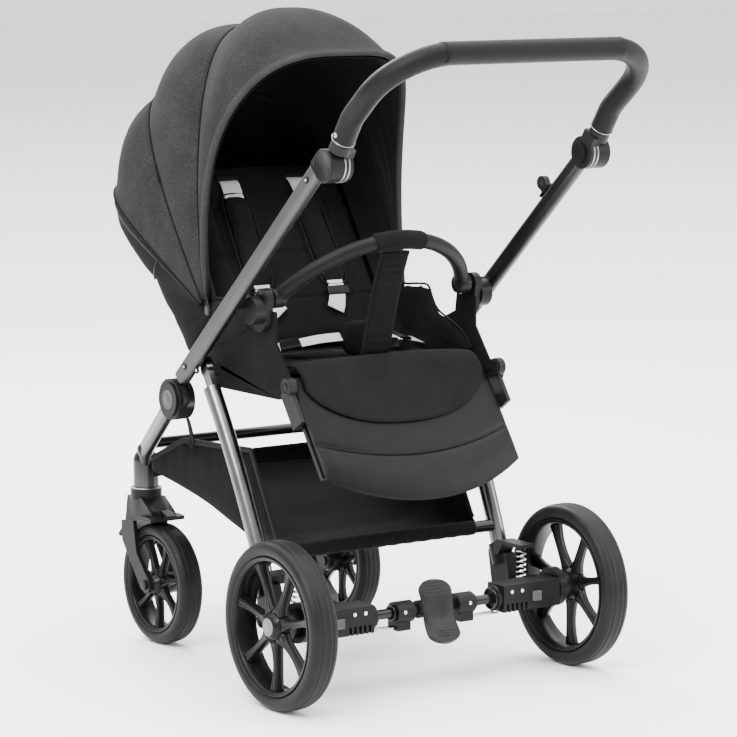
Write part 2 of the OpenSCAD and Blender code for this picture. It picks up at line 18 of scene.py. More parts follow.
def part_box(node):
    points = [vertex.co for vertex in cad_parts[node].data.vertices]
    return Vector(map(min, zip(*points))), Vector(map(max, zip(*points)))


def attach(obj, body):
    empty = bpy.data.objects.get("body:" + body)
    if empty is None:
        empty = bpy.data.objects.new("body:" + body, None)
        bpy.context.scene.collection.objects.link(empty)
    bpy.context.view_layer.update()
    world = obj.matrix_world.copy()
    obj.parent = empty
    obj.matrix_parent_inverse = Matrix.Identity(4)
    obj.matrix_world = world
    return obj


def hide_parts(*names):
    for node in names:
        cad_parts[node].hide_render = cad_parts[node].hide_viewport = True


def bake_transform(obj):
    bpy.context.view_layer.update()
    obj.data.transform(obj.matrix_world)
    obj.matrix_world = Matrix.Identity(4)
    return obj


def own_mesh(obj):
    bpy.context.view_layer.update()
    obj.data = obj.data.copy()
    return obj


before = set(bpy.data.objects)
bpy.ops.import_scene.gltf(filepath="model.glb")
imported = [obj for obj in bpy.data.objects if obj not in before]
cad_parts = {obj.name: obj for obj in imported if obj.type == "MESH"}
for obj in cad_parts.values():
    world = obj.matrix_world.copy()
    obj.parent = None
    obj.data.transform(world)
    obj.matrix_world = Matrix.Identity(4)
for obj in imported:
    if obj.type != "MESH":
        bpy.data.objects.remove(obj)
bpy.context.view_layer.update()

scene = bpy.context.scene

# %% [markdown]
# ## Where things are
# The maker's drawings give heights and depths in millimetres from the middle of the stroller,
# with the leg hinge near zero. The frame is centred on its own box, 40 mm further forward, so
# one small function turns a drawing's place into a place in Blender, in metres.
# A second one gives a place on a sloping plane, which the backrest and the apron both need.

# %% Places
FRAME_SHIFT = 40


def spot(x, y, z):
    """A place in the drawing's millimetres, as a place in the frame."""
    return Vector((x / 1000, (y + FRAME_SHIFT) / 1000, z / 1000))


def sloping(origin, angle):
    """A function that places (across, along, above) on a plane that rises at an angle."""
    c, s = math.cos(math.radians(angle)), math.sin(math.radians(angle))

    def place(across, along, above):
        return spot(across, origin[0] + along * c - above * s, origin[1] + along * s + above * c)

    return place


LEG_PIVOT, HUB, HANDLE_PIVOT = (27, 487), (92, 434), (-345, 830)
REAR_AXLE, FRONT_AXLE, CANOPY_PIVOT = (-250, 130), (262, 100), (90, 571)
BUMPER_PIVOT, FOOTREST_PIVOT = (-92, 607), (-160, 478)
BACKREST_HINGE, BACKREST_SLOPE = (60, 500), 57.8
APRON_START, APRON_SLOPE = (-139, 498), 235.4
TUBE_START, TUBE_SLOPE = (75.2, 469), 138
on_backrest = sloping(BACKREST_HINGE, BACKREST_SLOPE)
on_apron = sloping(APRON_START, APRON_SLOPE)
on_tube = sloping(TUBE_START, TUBE_SLOPE)
SIDES = ((-1, "left"), (1, "right"))
print("the hub is at", [round(v, 3) for v in spot(250, *HUB)])

# %% [markdown]
# ## Making meshes
# Nearly everything sewn or swept can be described as rows of points joined into a skin.
# A canopy panel is rows along its bows, a strap is rows along its length, a tyre is one
# section turned round an axle. So there is one function that skins rows, and the others feed it.

# %% Pieces and skins
def add_piece(name, points, faces, finish, body=None):
    """A new mesh piece, smooth shaded, with its finish, riding on a body if one is given."""
    mesh = bpy.data.meshes.new(name)
    mesh.from_pydata([tuple(p) for p in points], [], faces)
    work = bmesh.new()
    work.from_mesh(mesh)
    bmesh.ops.recalc_face_normals(work, faces=work.faces)
    work.to_mesh(mesh)
    work.free()
    mesh.shade_smooth()
    mesh.materials.append(finish)
    piece = bpy.data.objects.new(name, mesh)
    scene.collection.objects.link(piece)
    if body:
        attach(piece, body)
    return piece


def skin(rows, round_rows=False, round_across=False, capped=False):
    """Points and faces of a skin over rows of points."""
    across, count = len(rows[0]), len(rows)
    points = [p for row in rows for p in row]
    faces = []
    for i in range(count if round_rows else count - 1):
        j = (i + 1) % count
        for k in range(across if round_across else across - 1):
            m = (k + 1) % across
            faces.append((i * across + k, i * across + m, j * across + m, j * across + k))
    if capped:
        faces.append(tuple(range(across)))
        faces.append(tuple((count - 1) * across + k for k in range(across - 1, -1, -1)))
    return points, faces
print("a skin can be closed both ways and capped")

# %% [markdown]
# ## Sweeping a section along a line
# A tube, a strap and a cord are one section carried along a line. The section must not twist
# on the way, so each step keeps the last step's sideways direction and only tilts it to stay
# square to the line. A curve with a bevel could do this too, but rows of points can also
# change the section as they go, which a gathered strap needs.

# %% Sweeps and sections

def frames_along(path, up):
    """Tangent, side and up directions at each point of a path, turning no more than it does."""
    frames = []
    side = None
    for i in range(len(path)):
        tangent = (path[min(i + 1, len(path) - 1)] - path[max(i - 1, 0)]).normalized()
        if side is None:
            side = tangent.cross(Vector(up)).normalized()
        side = (side - tangent * side.dot(tangent)).normalized()
        frames.append((tangent, side, side.cross(tangent)))
    return frames


def swept(name, path, section, finish, body=None, up=(0, 0, 1), capped=True):
    """A piece swept along a path. section(t) gives (side, up) offsets in metres."""
    frames = frames_along(path, up)
    rows = []
    for i, (_, side, top) in enumerate(frames):
        rows.append([path[i] + side * u + top * v for u, v in section(i / (len(path) - 1))])
    return add_piece(name, *skin(rows, round_across=True, capped=capped), finish, body)


def ring(radius, sides=16, squeeze=1.0):
    """A round or oval section."""
    turns = [2 * math.pi * k / sides for k in range(sides)]
    return [(radius * math.cos(a), radius * squeeze * math.sin(a)) for a in turns]


def flat_section(width, thick, sides=12):
    """A flat section with rounded edges, for webbing and binding."""
    turns = [2 * math.pi * (k + 0.5) / sides for k in range(sides)]
    return [(width / 2 * math.copysign(abs(math.cos(a)) ** 0.35, math.cos(a)),
             thick / 2 * math.copysign(abs(math.sin(a)) ** 0.7, math.sin(a))) for a in turns]


def smooth_path(corners, count=40):
    """A smooth line of evenly spaced points through some corners."""
    c = [corners[0], *corners, corners[-1]]
    dense, steps = [], 16
    for i in range(1, len(c) - 2):
        for k in range(steps):
            t = k / steps
            dense.append(0.5 * ((2 * c[i]) + (c[i + 1] - c[i - 1]) * t
                                + (2 * c[i - 1] - 5 * c[i] + 4 * c[i + 1] - c[i + 2]) * t * t
                                + (3 * c[i] - c[i - 1] - 3 * c[i + 1] + c[i + 2]) * t ** 3))
    dense.append(corners[-1].copy())
    far = np.concatenate([[0], np.cumsum([(b - a).length for a, b in zip(dense, dense[1:])])])
    places = np.array([tuple(p) for p in dense])
    wanted = np.linspace(0, far[-1], count)
    return [Vector([np.interp(w, far, places[:, k]) for k in range(3)]) for w in wanted]


print("a section can be round or flat, and its line is smooth")

# %% [markdown]
# ## Finishes
# A material here is a small recipe of nodes: a colour that varies, a roughness that varies,
# and a bump that gives the surface its grain. Texture coordinates come from the object itself,
# in metres, so a thread is the same size on every piece and nothing has to be unwrapped.

# %% The node helper
def recipe(name, **values):
    """A new material with its shader's plain values set, and a helper to add nodes."""
    material = bpy.data.materials.new(name)
    material.use_nodes = True
    tree = material.node_tree
    shader = tree.nodes["Principled BSDF"]
    for key, value in values.items():
        shader.inputs[key.replace("_", " ")].default_value = value
    where = tree.nodes.new("ShaderNodeTexCoord").outputs["Object"]

    def add(kind, **settings):
        node = tree.nodes.new("ShaderNode" + kind)
        for key, value in settings.items():
            if key in node.inputs:
                if isinstance(value, bpy.types.NodeSocket):
                    tree.links.new(value, node.inputs[key])
                else:
                    node.inputs[key].default_value = value
            else:
                setattr(node, key, value)
        return node

    def noise(size, detail=3.0, stretch=(1, 1, 1)):
        """Soft noise whose blobs are about size metres across."""
        scaled = add("Mapping", Vector=where, Scale=[s / size for s in stretch])
        return add("TexNoise", Vector=scaled.outputs[0], Scale=1.0, Detail=detail).outputs["Fac"]

    def ramp(value, low, high, start=0.35, end=0.65):
        """Blends from one colour to another as a value rises."""
        node = add("ValToRGB", Fac=value)
        node.color_ramp.elements[0].position, node.color_ramp.elements[1].position = start, end
        node.color_ramp.elements[0].color, node.color_ramp.elements[1].color = (*low, 1), (*high, 1)
        return node.outputs["Color"]

    def spread(value, low, high):
        """Maps a 0 to 1 value to a range."""
        return add("MapRange", Value=value, **{"To Min": low, "To Max": high}).outputs["Result"]

    def bump(height, depth, strength=0.5):
        """Turns a height into a surface relief of that depth in metres."""
        return add("Bump", Height=height, Strength=strength, Distance=depth)

    def into(socket, value):
        tree.links.new(value, shader.inputs[socket])

    return material, add, noise, ramp, spread, bump, into, where


FINISHES = {}


def keep(name, material, slot_name):
    """Files a finish under its workshop name, with the record's slot that it belongs to."""
    FINISHES[name] = material
    material["slot"] = slot_name
    return material


print("finishes use object coordinates, in metres")

# %% [markdown]
# ## Cloth finishes
# The canopy is a heathered weave: dark and light grey yarns mixed, so from a step away it is
# an even charcoal with a fine speckle. The seat and basket are a plain black weave. Both come
# from one function: yarn-sized noise for the speckle, two crossed waves for the over-and-under
# of the weave, and a low soft sheen. Waves alone would look like a printed grid, which is why
# the noise leads and the waves only roughen it.

# %% Woven fabrics
def woven(name, slot_name, dark, light, yarn=0.0011, rough=0.92, depth=0.0003, sheen=0.015,
          mix=(0.42, 0.82)):
    """A woven fabric with speckled yarns."""
    material, add, noise, ramp, spread, bump, into, where = recipe(
        name, Sheen_Weight=sheen, Sheen_Roughness=0.4, Specular_IOR_Level=0.06)
    speckle = noise(yarn, 2.0, (1, 1, 0.6))
    tone = add("Math", operation="MULTIPLY_ADD")
    material.node_tree.links.new(noise(0.05, 2.0), tone.inputs[0])
    tone.inputs[1].default_value = 0.22
    material.node_tree.links.new(speckle, tone.inputs[2])
    into("Base Color", ramp(tone.outputs[0], dark, light, *mix))
    warp = add("TexWave", Vector=where, Scale=0.32 / yarn, Distortion=1.5, bands_direction="Z")
    weft = add("TexWave", Vector=where, Scale=0.32 / yarn, Distortion=1.5,
               bands_direction="DIAGONAL")
    weave = add("Math", operation="MULTIPLY")
    material.node_tree.links.new(warp.outputs["Fac"], weave.inputs[0])
    material.node_tree.links.new(weft.outputs["Fac"], weave.inputs[1])
    into("Roughness", spread(speckle, rough - 0.1, min(1.0, rough + 0.08)))
    fine = bump(weave.outputs[0], depth, 0.6)
    folds = bump(noise(0.018, 2.0), 0.0012, 0.35)
    material.node_tree.links.new(fine.outputs[0], folds.inputs["Normal"])
    into("Normal", folds.outputs[0])
    return keep(name, material, slot_name)


melange = woven("heathered canopy cloth", "fabric_grey", (0.0042, 0.0042, 0.0042),
                (0.0245, 0.0245, 0.0245), 0.0014,
                sheen=0.02, mix=(0.42, 0.78))
binding = woven("rim binding cloth", "fabric_grey", (0.009, 0.009, 0.0091), (0.038, 0.038, 0.0385),
                0.0009)
black_cloth = woven("black seat cloth", "fabric_black", (0.0014, 0.0014, 0.0014),
                    (0.0085, 0.0085, 0.0086), 0.0009)
lining = woven("canopy lining", "fabric_black", (0.0026, 0.0026, 0.0026), (0.0105, 0.0105, 0.0107),
               0.0007, 0.62)
flap_cloth = woven("apron flap cloth", "fabric_black", (0.0022, 0.0022, 0.0023),
                   (0.0115, 0.0115, 0.0117), 0.0009)
webbing = woven("harness webbing", "fabric_grey", (0.30, 0.305, 0.31), (0.60, 0.605, 0.61), 0.0010,
                0.75, 0.0005)
print("woven:", ", ".join(FINISHES))

# %% [markdown]
# ## Leather and leatherette
# The grip, the bumper bar and the apron share a coated leatherette: near-black, softly shining,
# with a pebbled grain of cells about a millimetre across. Cells from a Voronoi pattern give the
# pebbles their borders, and slow noise keeps the shine from being even, as handling does.

# %% Leather finishes
def leathery(name, slot_name, colour, cell=0.0012, rough=0.42, depth=0.00025, coat=0.03):
    """A pebbled leather with an uneven soft shine."""
    material, add, noise, ramp, spread, bump, into, where = recipe(
        name, Coat_Weight=coat, Coat_Roughness=0.35, Specular_IOR_Level=0.1)
    cells = add("TexVoronoi", Vector=where, Scale=1 / cell, feature="DISTANCE_TO_EDGE")
    pebble = add("MapRange", Value=cells.outputs["Distance"], **{"From Max": 0.25})
    slow = noise(0.035, 3.0)
    into("Base Color", ramp(slow, [c * 0.75 for c in colour], [c * 1.35 for c in colour], 0.3, 0.7))
    into("Roughness", spread(slow, rough - 0.07, rough + 0.12))
    grain = bump(pebble.outputs["Result"], depth, 0.45)
    wrinkles = bump(noise(0.012, 2.0), 0.0006, 0.3)
    material.node_tree.links.new(grain.outputs[0], wrinkles.inputs["Normal"])
    into("Normal", wrinkles.outputs[0])
    return keep(name, material, slot_name)


grip_leather = leathery("grip leather", "grip_leather", (0.0030, 0.0030, 0.0031))
apron_leather = leathery("apron leatherette", "leather_apron", (0.0026, 0.0026, 0.0026), 0.0014,
                         0.33, 0.0002, 0.02)
thread = leathery("stitching thread", "fabric_grey", (0.02, 0.02, 0.0205), 0.0008, 0.6)
print("leather finishes:", grip_leather.name, "and", apron_leather.name)

# %% [markdown]
# ## Metals, plastics and rubber
# The tubes are anodised aluminium: metallic, dark, with fine lines drawn along them and a
# slightly brighter wear on exposed edges. The castings and wheels are moulded plastic with the
# fine sand texture of a tool surface. Rubber is rougher and a little dusty in its grooves.

# %% Hard finishes
def metallic(name, slot_name, colour, rough=0.3, drawn=(1, 1, 1), lines=0.0006, depth=0.00002,
             worn=0.25, coat=0.0):
    """Anodised or plated metal with fine drawn lines and lighter worn edges."""
    material, add, noise, ramp, spread, bump, into, where = recipe(
        name, Metallic=1.0, Coat_Weight=coat, Coat_Roughness=0.12)
    streak = noise(lines, 4.0, drawn)
    slow = noise(0.06, 2.0)
    edge = add("NewGeometry").outputs["Pointiness"]
    wear = add("MapRange", Value=edge, **{"From Min": 0.52, "From Max": 0.6, "To Max": worn})
    tint = add("Mix", data_type="RGBA")
    material.node_tree.links.new(wear.outputs["Result"], tint.inputs["Factor"])
    material.node_tree.links.new(ramp(slow, [c * 0.85 for c in colour], [c * 1.15 for c in colour]),
                                 tint.inputs[6])
    tint.inputs[7].default_value = (*[min(1.0, c * 2.6 + 0.05) for c in colour], 1)
    into("Base Color", tint.outputs[2])
    into("Roughness", spread(streak, rough - 0.03, rough + 0.05))
    into("Normal", bump(streak, depth, 0.4).outputs[0])
    return keep(name, material, slot_name)


def moulded(name, slot_name, colour, rough=0.45, grain=0.0007, depth=0.00008, worn=0.3, coat=0.0):
    """Moulded plastic with a fine sanded tool texture and edges polished by use."""
    material, add, noise, ramp, spread, bump, into, where = recipe(
        name, Coat_Weight=coat, Coat_Roughness=0.2, Specular_IOR_Level=0.12)
    sand = noise(grain, 3.0)
    slow = noise(0.03, 3.0)
    edge = add("NewGeometry").outputs["Pointiness"]
    wear = add("MapRange", Value=edge, **{"From Min": 0.52, "From Max": 0.62, "To Max": worn})
    tint = add("Mix", data_type="RGBA")
    material.node_tree.links.new(wear.outputs["Result"], tint.inputs["Factor"])
    material.node_tree.links.new(ramp(slow, [c * 0.8 for c in colour], [c * 1.25 for c in colour]),
                                 tint.inputs[6])
    tint.inputs[7].default_value = (*[min(1.0, c * 2.2 + 0.01) for c in colour], 1)
    into("Base Color", tint.outputs[2])
    into("Roughness", spread(slow, rough - 0.06, rough + 0.1))
    into("Normal", bump(sand, depth, 0.35).outputs[0])
    return keep(name, material, slot_name)


tube_paint = metallic("anodised graphite tube", "gunmetal_tube", (0.034, 0.034, 0.0345), 0.32,
                      (1, 0.008, 0.008))
leg_metal = metallic("anodised silver-grey leg", "leg_silver", (0.12, 0.12, 0.122), 0.24,
                     (1, 0.008, 0.008))
bright_metal = metallic("satin silver trim", "joint_silver", (0.17, 0.17, 0.173), 0.3,
                        (1, 0.02, 0.02))
spring_wire = metallic("spring steel", "spring_steel", (0.5, 0.5, 0.51), 0.18)
axle_gloss = moulded("gloss black axle", "axle_black", (0.002, 0.002, 0.0021), 0.16, coat=0.22)
black_plastic = moulded("black moulded plastic", "plastic_black", (0.0036, 0.0036, 0.0037), 0.4)
grey_plastic = moulded("grey moulded plastic", "plastic_grey", (0.055, 0.055, 0.056), 0.42)
cap_plastic = moulded("light grey hub cap", "plastic_grey", (0.13, 0.13, 0.132), 0.38)
pedal_plastic = moulded("brake pedal plastic", "plastic_black", (0.011, 0.011, 0.0112), 0.36)
rim_plastic = moulded("black wheel rim", "rim_black", (0.0034, 0.0034, 0.0035), 0.28)
tyre_rubber = moulded("tyre rubber", "tyre_black", (0.0062, 0.0061, 0.006), 0.46, 0.0012, 0.00015,
                      0.15)
print(len(FINISHES), "finishes are ready")

# %% [markdown]
# ## The room
# A soft studio: a pale floor, a pale surround, a square lamp high on the left, a weaker one on
# the right to open the shadows, one behind to draw a bright line along the tubes, and a very
# wide one overhead that lights the floor evenly.
# The camera stands far off with a long lens, which keeps the tall handle from leaning.

# %% Floor, lamps and camera
def lamp(name, place, aim, size, power):
    """An area lamp at a place, turned towards another."""
    light = bpy.data.lights.new(name, "AREA")
    light.size, light.energy = size, power
    light.shape = "SQUARE"
    holder = bpy.data.objects.new(name, light)
    holder.location = place
    holder.rotation_euler = (Vector(aim) - Vector(place)).to_track_quat("-Z", "Y").to_euler()
    scene.collection.objects.link(holder)


world = bpy.data.worlds.new("pale surround")
world.use_nodes = True
world.node_tree.nodes["Background"].inputs["Color"].default_value = (1, 1, 1, 1)
world.node_tree.nodes["Background"].inputs["Strength"].default_value = 1.6
scene.world = world

floor_finish = bpy.data.materials.new("pale floor")
floor_finish.use_nodes = True
floor_shader = floor_finish.node_tree.nodes["Principled BSDF"]
floor_shader.inputs["Base Color"].default_value = (0.92, 0.92, 0.92, 1)
floor_shader.inputs["Roughness"].default_value = 0.6
floor = add_piece("floor", *skin([[Vector((x, y, -0.0005)) for x in (-30, 30)] for y in (-30, 30)]),
                  floor_finish)

lamp("key", (-2.8, -1.6, 3.0), (0, 0, 0.5), 1.6, 230)
lamp("fill", (3.2, -2.4, 1.8), (0, 0, 0.5), 1.8, 110)
lamp("rim", (0.6, 3.0, 2.8), (0, 0, 0.6), 1.6, 160)
lamp("overhead", (0, 0, 9), (0, 0.01, 0), 16.0, 4200)

CAMERA_AT, CAMERA_AIM, CAMERA_ROLL = (-2.9297, -4.3107, 1.1836), (0.0173, -0.0195, 0.4780), -0.18
camera = bpy.data.objects.new("camera", bpy.data.cameras.new("camera"))
camera.data.lens, camera.data.sensor_width = 160.87, 36
camera.location = CAMERA_AT
look = Vector(CAMERA_AIM) - camera.location
roll = Matrix.Rotation(math.radians(CAMERA_ROLL), 3, "Z")
turn = look.to_track_quat("-Z", "Y").to_matrix() @ roll
camera.rotation_euler = turn.to_euler()
scene.collection.objects.link(camera)
scene.camera = camera
print("the camera is", round(look.length, 2), "m away")

# %% [markdown]
# ## Finishing the CAD parts
# The exact parts keep their shapes. Each gets its finish, and a small rounding on its edges:
# a sharp corner catches no light, and a real casting or pressing never has one. The parts come
# with a vertex for each face at every corner, so a weld closes them before the bevel works.

# %% Finishes for the CAD parts
def soften(node, width):
    """Rounds the edges of a CAD part by a small bevel, leaving its own mesh alone."""
    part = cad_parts[node]
    if "custom_normal" in part.data.attributes:
        part.data.attributes.remove(part.data.attributes["custom_normal"])
    part.data.shade_smooth()
    part.modifiers.new("close", "WELD").merge_threshold = 0.00002
    bevel = part.modifiers.new("round", "BEVEL")
    bevel.width, bevel.segments = width, 2
    bevel.limit_method, bevel.angle_limit = "ANGLE", math.radians(38)
    bevel.harden_normals = True


FRAME_FINISHES = {
    tube_paint: ["side_tube_left", "side_tube_right", "front_tube_left", "front_tube_right"],
    leg_metal: ["rear_leg_left", "rear_leg_right"],
    axle_gloss: ["axle_tube", "rear_cross_tube", "front_cross_tube"],
    spring_wire: ["spring_left", "spring_right"],
    bright_metal: ["handle_tube"],
    grey_plastic: ["wheel_release_left", "wheel_release_right", "buckle_button"],
    black_cloth: ["seat_shell"],
    black_plastic: [
        "axle_housing_left", "axle_housing_right", "brake_linkage", "hub_shells", "leg_brackets",
        "seat_sockets", "handle_knuckles", "accessory_bracket", "handle_joints",
        "handle_button_left", "handle_button_right", "caster_fork_left", "caster_fork_right",
        "swivel_lever_left", "swivel_lever_right", "suspension_arm_left", "suspension_arm_right",
        "seat_adapters", "harness_buckle", "backrest_shell",
        "footrest_board", "canopy_mid_bow", "canopy_front_bow"],
}
ROUNDING = {
    "axle_housing_left": 0.003, "axle_housing_right": 0.003, "brake_linkage": 0.0015,
    "hub_shells": 0.0015, "leg_brackets": 0.002, "seat_sockets": 0.002, "handle_knuckles": 0.002,
    "accessory_bracket": 0.0012, "handle_joints": 0.002, "caster_fork_left": 0.0022,
    "caster_fork_right": 0.0022, "suspension_arm_left": 0.002, "suspension_arm_right": 0.002,
    "seat_shell": 0.0012, "seat_adapters": 0.0022, "harness_buckle": 0.003,
    "footrest_board": 0.0015, "handle_button_left": 0.002, "handle_button_right": 0.002,
    "wheel_release_left": 0.0015, "wheel_release_right": 0.0015, "buckle_button": 0.001,
}
for finish, nodes in FRAME_FINISHES.items():
    for node in nodes:
        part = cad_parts[node]
        part.data.materials.clear()
        part.data.materials.append(finish)
        if node in ROUNDING:
            soften(node, ROUNDING[node])
print("finished", sum(len(n) for n in FRAME_FINISHES.values()), "CAD parts")

# %% [markdown]
# ## The canopy's shape
# The canopy is a fan of bows that turn on one hinge each side. A bow is half of a rounded
# rectangle: nearly square at the zip, rounder towards the front. Between two bows the cloth is
# stretched, so it takes a line between the round arc and the straight chord, and a little
# stuffing lets it bulge. The front rim leans forward at its crown and stays back at its feet.
# Each panel is one continuous sheet of rows along the bows, which is how it is cut and sewn.

# %% Points on the canopy
FAN = (27.0, 52.6, 79.6, 106.4)
FAN_REACH = (405, 483, 486, 426)
FAN_SQUARE = (6, 3, 2.4, 3.4)
RIM_FOOT = 84.0
SEAM_PULL = (0, 17, 17, 0)
SEAM_LEAN = (0, -5, -6, 0)
FULLNESS = (1.25, 1.25, 1.2)
CANOPY_HALF_WIDTH = 195
FOOT = 2.5


def bow_point(angle, turn_, inset):
    """A point on the bow at a fan angle, at a turn from 0 (right foot) to 180 (left foot)."""
    reach = np.interp(angle, FAN, FAN_REACH) - inset
    square = np.interp(angle, FAN, FAN_SQUARE)
    c, s = math.cos(math.radians(turn_)), math.sin(math.radians(turn_))
    size = (abs(c) ** square + abs(s) ** square) ** (1 / square)
    x, r = (CANOPY_HALF_WIDTH - inset) * c / size, reach * s / size
    if angle > FAN[2]:
        crown = (r / (reach + inset)) ** 2
        rim = RIM_FOOT + (FAN[3] - RIM_FOOT) * crown
        angle = FAN[2] + (angle - FAN[2]) / (FAN[3] - FAN[2]) * (rim - FAN[2])
    a = math.radians(angle)
    return spot(x, CANOPY_PIVOT[0] + r * math.cos(a), CANOPY_PIVOT[1] + r * math.sin(a))


def seam_angle(angle, turn_):
    """A seam leans back a little over the crown, where the cloth pulls its bow."""
    return angle + float(np.interp(angle, FAN, SEAM_LEAN)) * math.sin(math.radians(turn_)) ** 2


def seam_point(angle, turn_, inset):
    """A point on a bow where the cloth is drawn in over it."""
    pull = float(np.interp(angle, FAN, SEAM_PULL)) * math.sin(math.radians(turn_)) ** 2
    return bow_point(seam_angle(angle, turn_), turn_, inset + pull)
print("the seams are drawn in by", SEAM_PULL[1], "mm at the crown")

# %% [markdown]
# ## From bows to cloth
# A panel is a grid: its rows follow the bows and its columns cross from one bow to the next.
# Each point lies between the straight chord and the round arc. The cloth is then given its
# real thickness, and its flat size is measured along its own rows, as a cutter would see it.

# %% Cloth sheets

def canopy_rows(low, high, inset, fullness, rows=18, columns=72, wrinkle=0.0):
    """Rows over a panel, drawn in at its seams. fullness 0 is the chord, 1 the round arc."""
    made = []
    for i in range(rows + 1):
        t = i / rows
        row = []
        for k in range(columns + 1):
            f = FOOT + (180 - 2 * FOOT) * k / columns
            chord = seam_point(low, f, inset).lerp(seam_point(high, f, inset), t)
            turned_to = seam_angle(low, f) + (seam_angle(high, f) - seam_angle(low, f)) * t
            arc = bow_point(turned_to, f, inset)
            p = chord.lerp(arc, fullness * (1 - abs(2 * t - 1) ** 2.6))
            if wrinkle:
                near_foot = abs(math.cos(math.radians(f))) ** 6
                wave = math.sin(t * math.pi) * math.sin(t * 19 + f * 0.35) * (0.35 + near_foot)
                p += (arc - bow_point(low + (high - low) * t, f,
                                      inset + 10)).normalized() * wave * wrinkle
            row.append(p)
        made.append(row)
    return made


def cloth_size(rows):
    """Width, length and area in metres of a cloth given by its rows, before it gets a thickness."""
    lengths = [sum((b - a).length for a, b in zip(row, row[1:])) for row in rows]
    columns = list(zip(*rows))
    widths = [sum((b - a).length for a, b in zip(c, c[1:])) for c in columns]
    area = 0.0
    for r0, r1 in zip(rows, rows[1:]):
        for a, b, c, d in zip(r0, r0[1:], r1[1:], r1):
            area += ((c - a).cross(d - b)).length / 2
    return round(max(widths), 3), round(max(lengths), 3), round(area, 4)


def cloth_sheet(name, rows, finish, thick, body=None):
    """A sheet from rows of points, given its real thickness, with its flat size printed."""
    sheet = add_piece(name, *skin(rows), finish, body)
    solid = sheet.modifiers.new("thickness", "SOLIDIFY")
    solid.thickness, solid.offset = thick, 0
    settle(sheet)
    width, length, area = cloth_size(rows)
    print(name, "cut", width, "x", length, "m, area", area)
    return sheet


def settle(piece):
    """Applies a piece's modifiers, so that its mesh is final."""
    bpy.context.view_layer.update()
    shown = piece.evaluated_get(bpy.context.evaluated_depsgraph_get())
    final = bpy.data.meshes.new_from_object(shown)
    piece.modifiers.clear()
    piece.data = final
    final.shade_smooth()
    return piece


print("the rim's crown is at", [round(v, 3) for v in bow_point(FAN[3], 90, 0)])

# %% [markdown]
# ## Canopy panels and lining
# Three outer panels of heathered cloth, each with a black lining 9 mm inside it. The two
# panels that span a hinge are baked in place and ride on no body; the front one rides on the
# front bow.

# %% Outer panels and lining
PANELS = (("rear", 0, "backrest", "canopy_middle", "canopy_rear"),
          ("middle", 1, "canopy_middle", "canopy_visor", "canopy_mid"),
          ("front", 2, "canopy_visor", None, "canopy_front"))


def hinge_blend(piece, low, high, body_a, body_b):
    """Bakes a panel's placement into its mesh, where it stays fixed."""
    start, end = (bow_point(a, 90, 60) for a in (low, high))
    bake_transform(piece)
    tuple(start)
    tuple(end)


for name, i, body_a, body_b, node in PANELS:
    low, high = FAN[i] + (0 if i == 0 else 0.25), FAN[i + 1] - (0.25 if i < 2 else 0)
    outer = cloth_sheet("canopy_panel_" + name, canopy_rows(low, high, 1.5, FULLNESS[i]), melange,
                        0.002,
                        None if body_b else body_a)
    inner = cloth_sheet("canopy_lining_" + name, canopy_rows(low, high, 11, 0.75, wrinkle=0.0022),
                        lining, 0.0008,
                        None if body_b else body_a)
    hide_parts(node)
    if body_b:
        hinge_blend(outer, low, high, body_a, body_b)
        hinge_blend(inner, low, high, body_a, body_b)

# %% [markdown]
# ## Seams and piping
# A seam on a canopy is piped: a thin cord in black cloth that keeps the bow's line crisp.
# It is swept along the same curve as the panels' edges, so it can't part from them.

# %% Piping
def bow_path(angle, inset, count=90, trim=0.0):
    """The line of a bow as a path."""
    low, high = FOOT + trim, 180 - FOOT - trim
    return [seam_point(angle, low + (high - low) * k / (count - 1), inset) for k in range(count)]


for label, angle, body in (("zip", FAN[0], "backrest"), ("rear_seam", FAN[1], "canopy_middle"),
                           ("front_seam", FAN[2], "canopy_visor")):
    piping = swept("canopy_piping_" + label, bow_path(angle, 0.5), lambda t: ring(0.0021, 10),
                   black_cloth, body)
print("three seams are piped")

# %% [markdown]
# ## The bows under the seams
# A canopy bow is a flat strip of sprung plastic in a pocket under each seam, with an eye at
# each foot for the hinge. The strips are swept along the seam's own line, a little inside it,
# so the cloth always covers them. The eyes are small plates cut to shape.

# %% Bows and eyes
for label, angle, body in (("middle", FAN[1], "canopy_middle"), ("front", FAN[2], "canopy_visor"),
                           ("rim", FAN[3] - 1.2, "canopy_visor")):
    swept("canopy_bow_" + label, bow_path(angle, 6.5),
                        lambda t: flat_section(0.008, 0.0026),
                        black_plastic, body, up=(0, 0, 1))
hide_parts("canopy_mid_bow")
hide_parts("canopy_front_bow")
for sign, side in SIDES:
    for x, angle, body in ((188.5, FAN[1], "canopy_middle"), (190.1, FAN[2], "canopy_visor")):
        a = math.radians(angle)
        eye = [[spot(sign * (x + w), CANOPY_PIVOT[0] + r * math.cos(a + h),
                     CANOPY_PIVOT[1] + r * math.sin(a + h))
                for r, h in ((34, -0.06), (34, 0.06), (12, 0.3), (9, 0.9), (9, 2.0), (9, 3.14),
                             (9, -2.0), (9, -0.9),
                             (12, -0.3))] for w in (0, 1.4)]
        add_piece("canopy_bow_eye_%s_%s" % (body[7:], side),
                  *skin(eye, round_across=True, capped=True),
                  black_plastic, body)

# %% [markdown]
# ## The rim binding
# The open edge is bound: a strip of lighter cloth is folded round it and stitched through.
# Its section is a narrow hook that goes over the edge and back inside. It is carried round the
# rim with its own outward direction, because a plain sweep would roll at the lower corners.

# %% Rim binding

def rim_frame(turn_):
    """A point of the rim's edge, and the directions back over the cloth and out of it."""
    edge = bow_point(FAN[3], turn_, 1.5)
    back = (bow_point(FAN[3] - 2.4, turn_, 1.5) - edge).normalized()
    out = (bow_point(FAN[3], turn_, 0) - bow_point(FAN[3], turn_, 9)).normalized()
    return edge, back, out


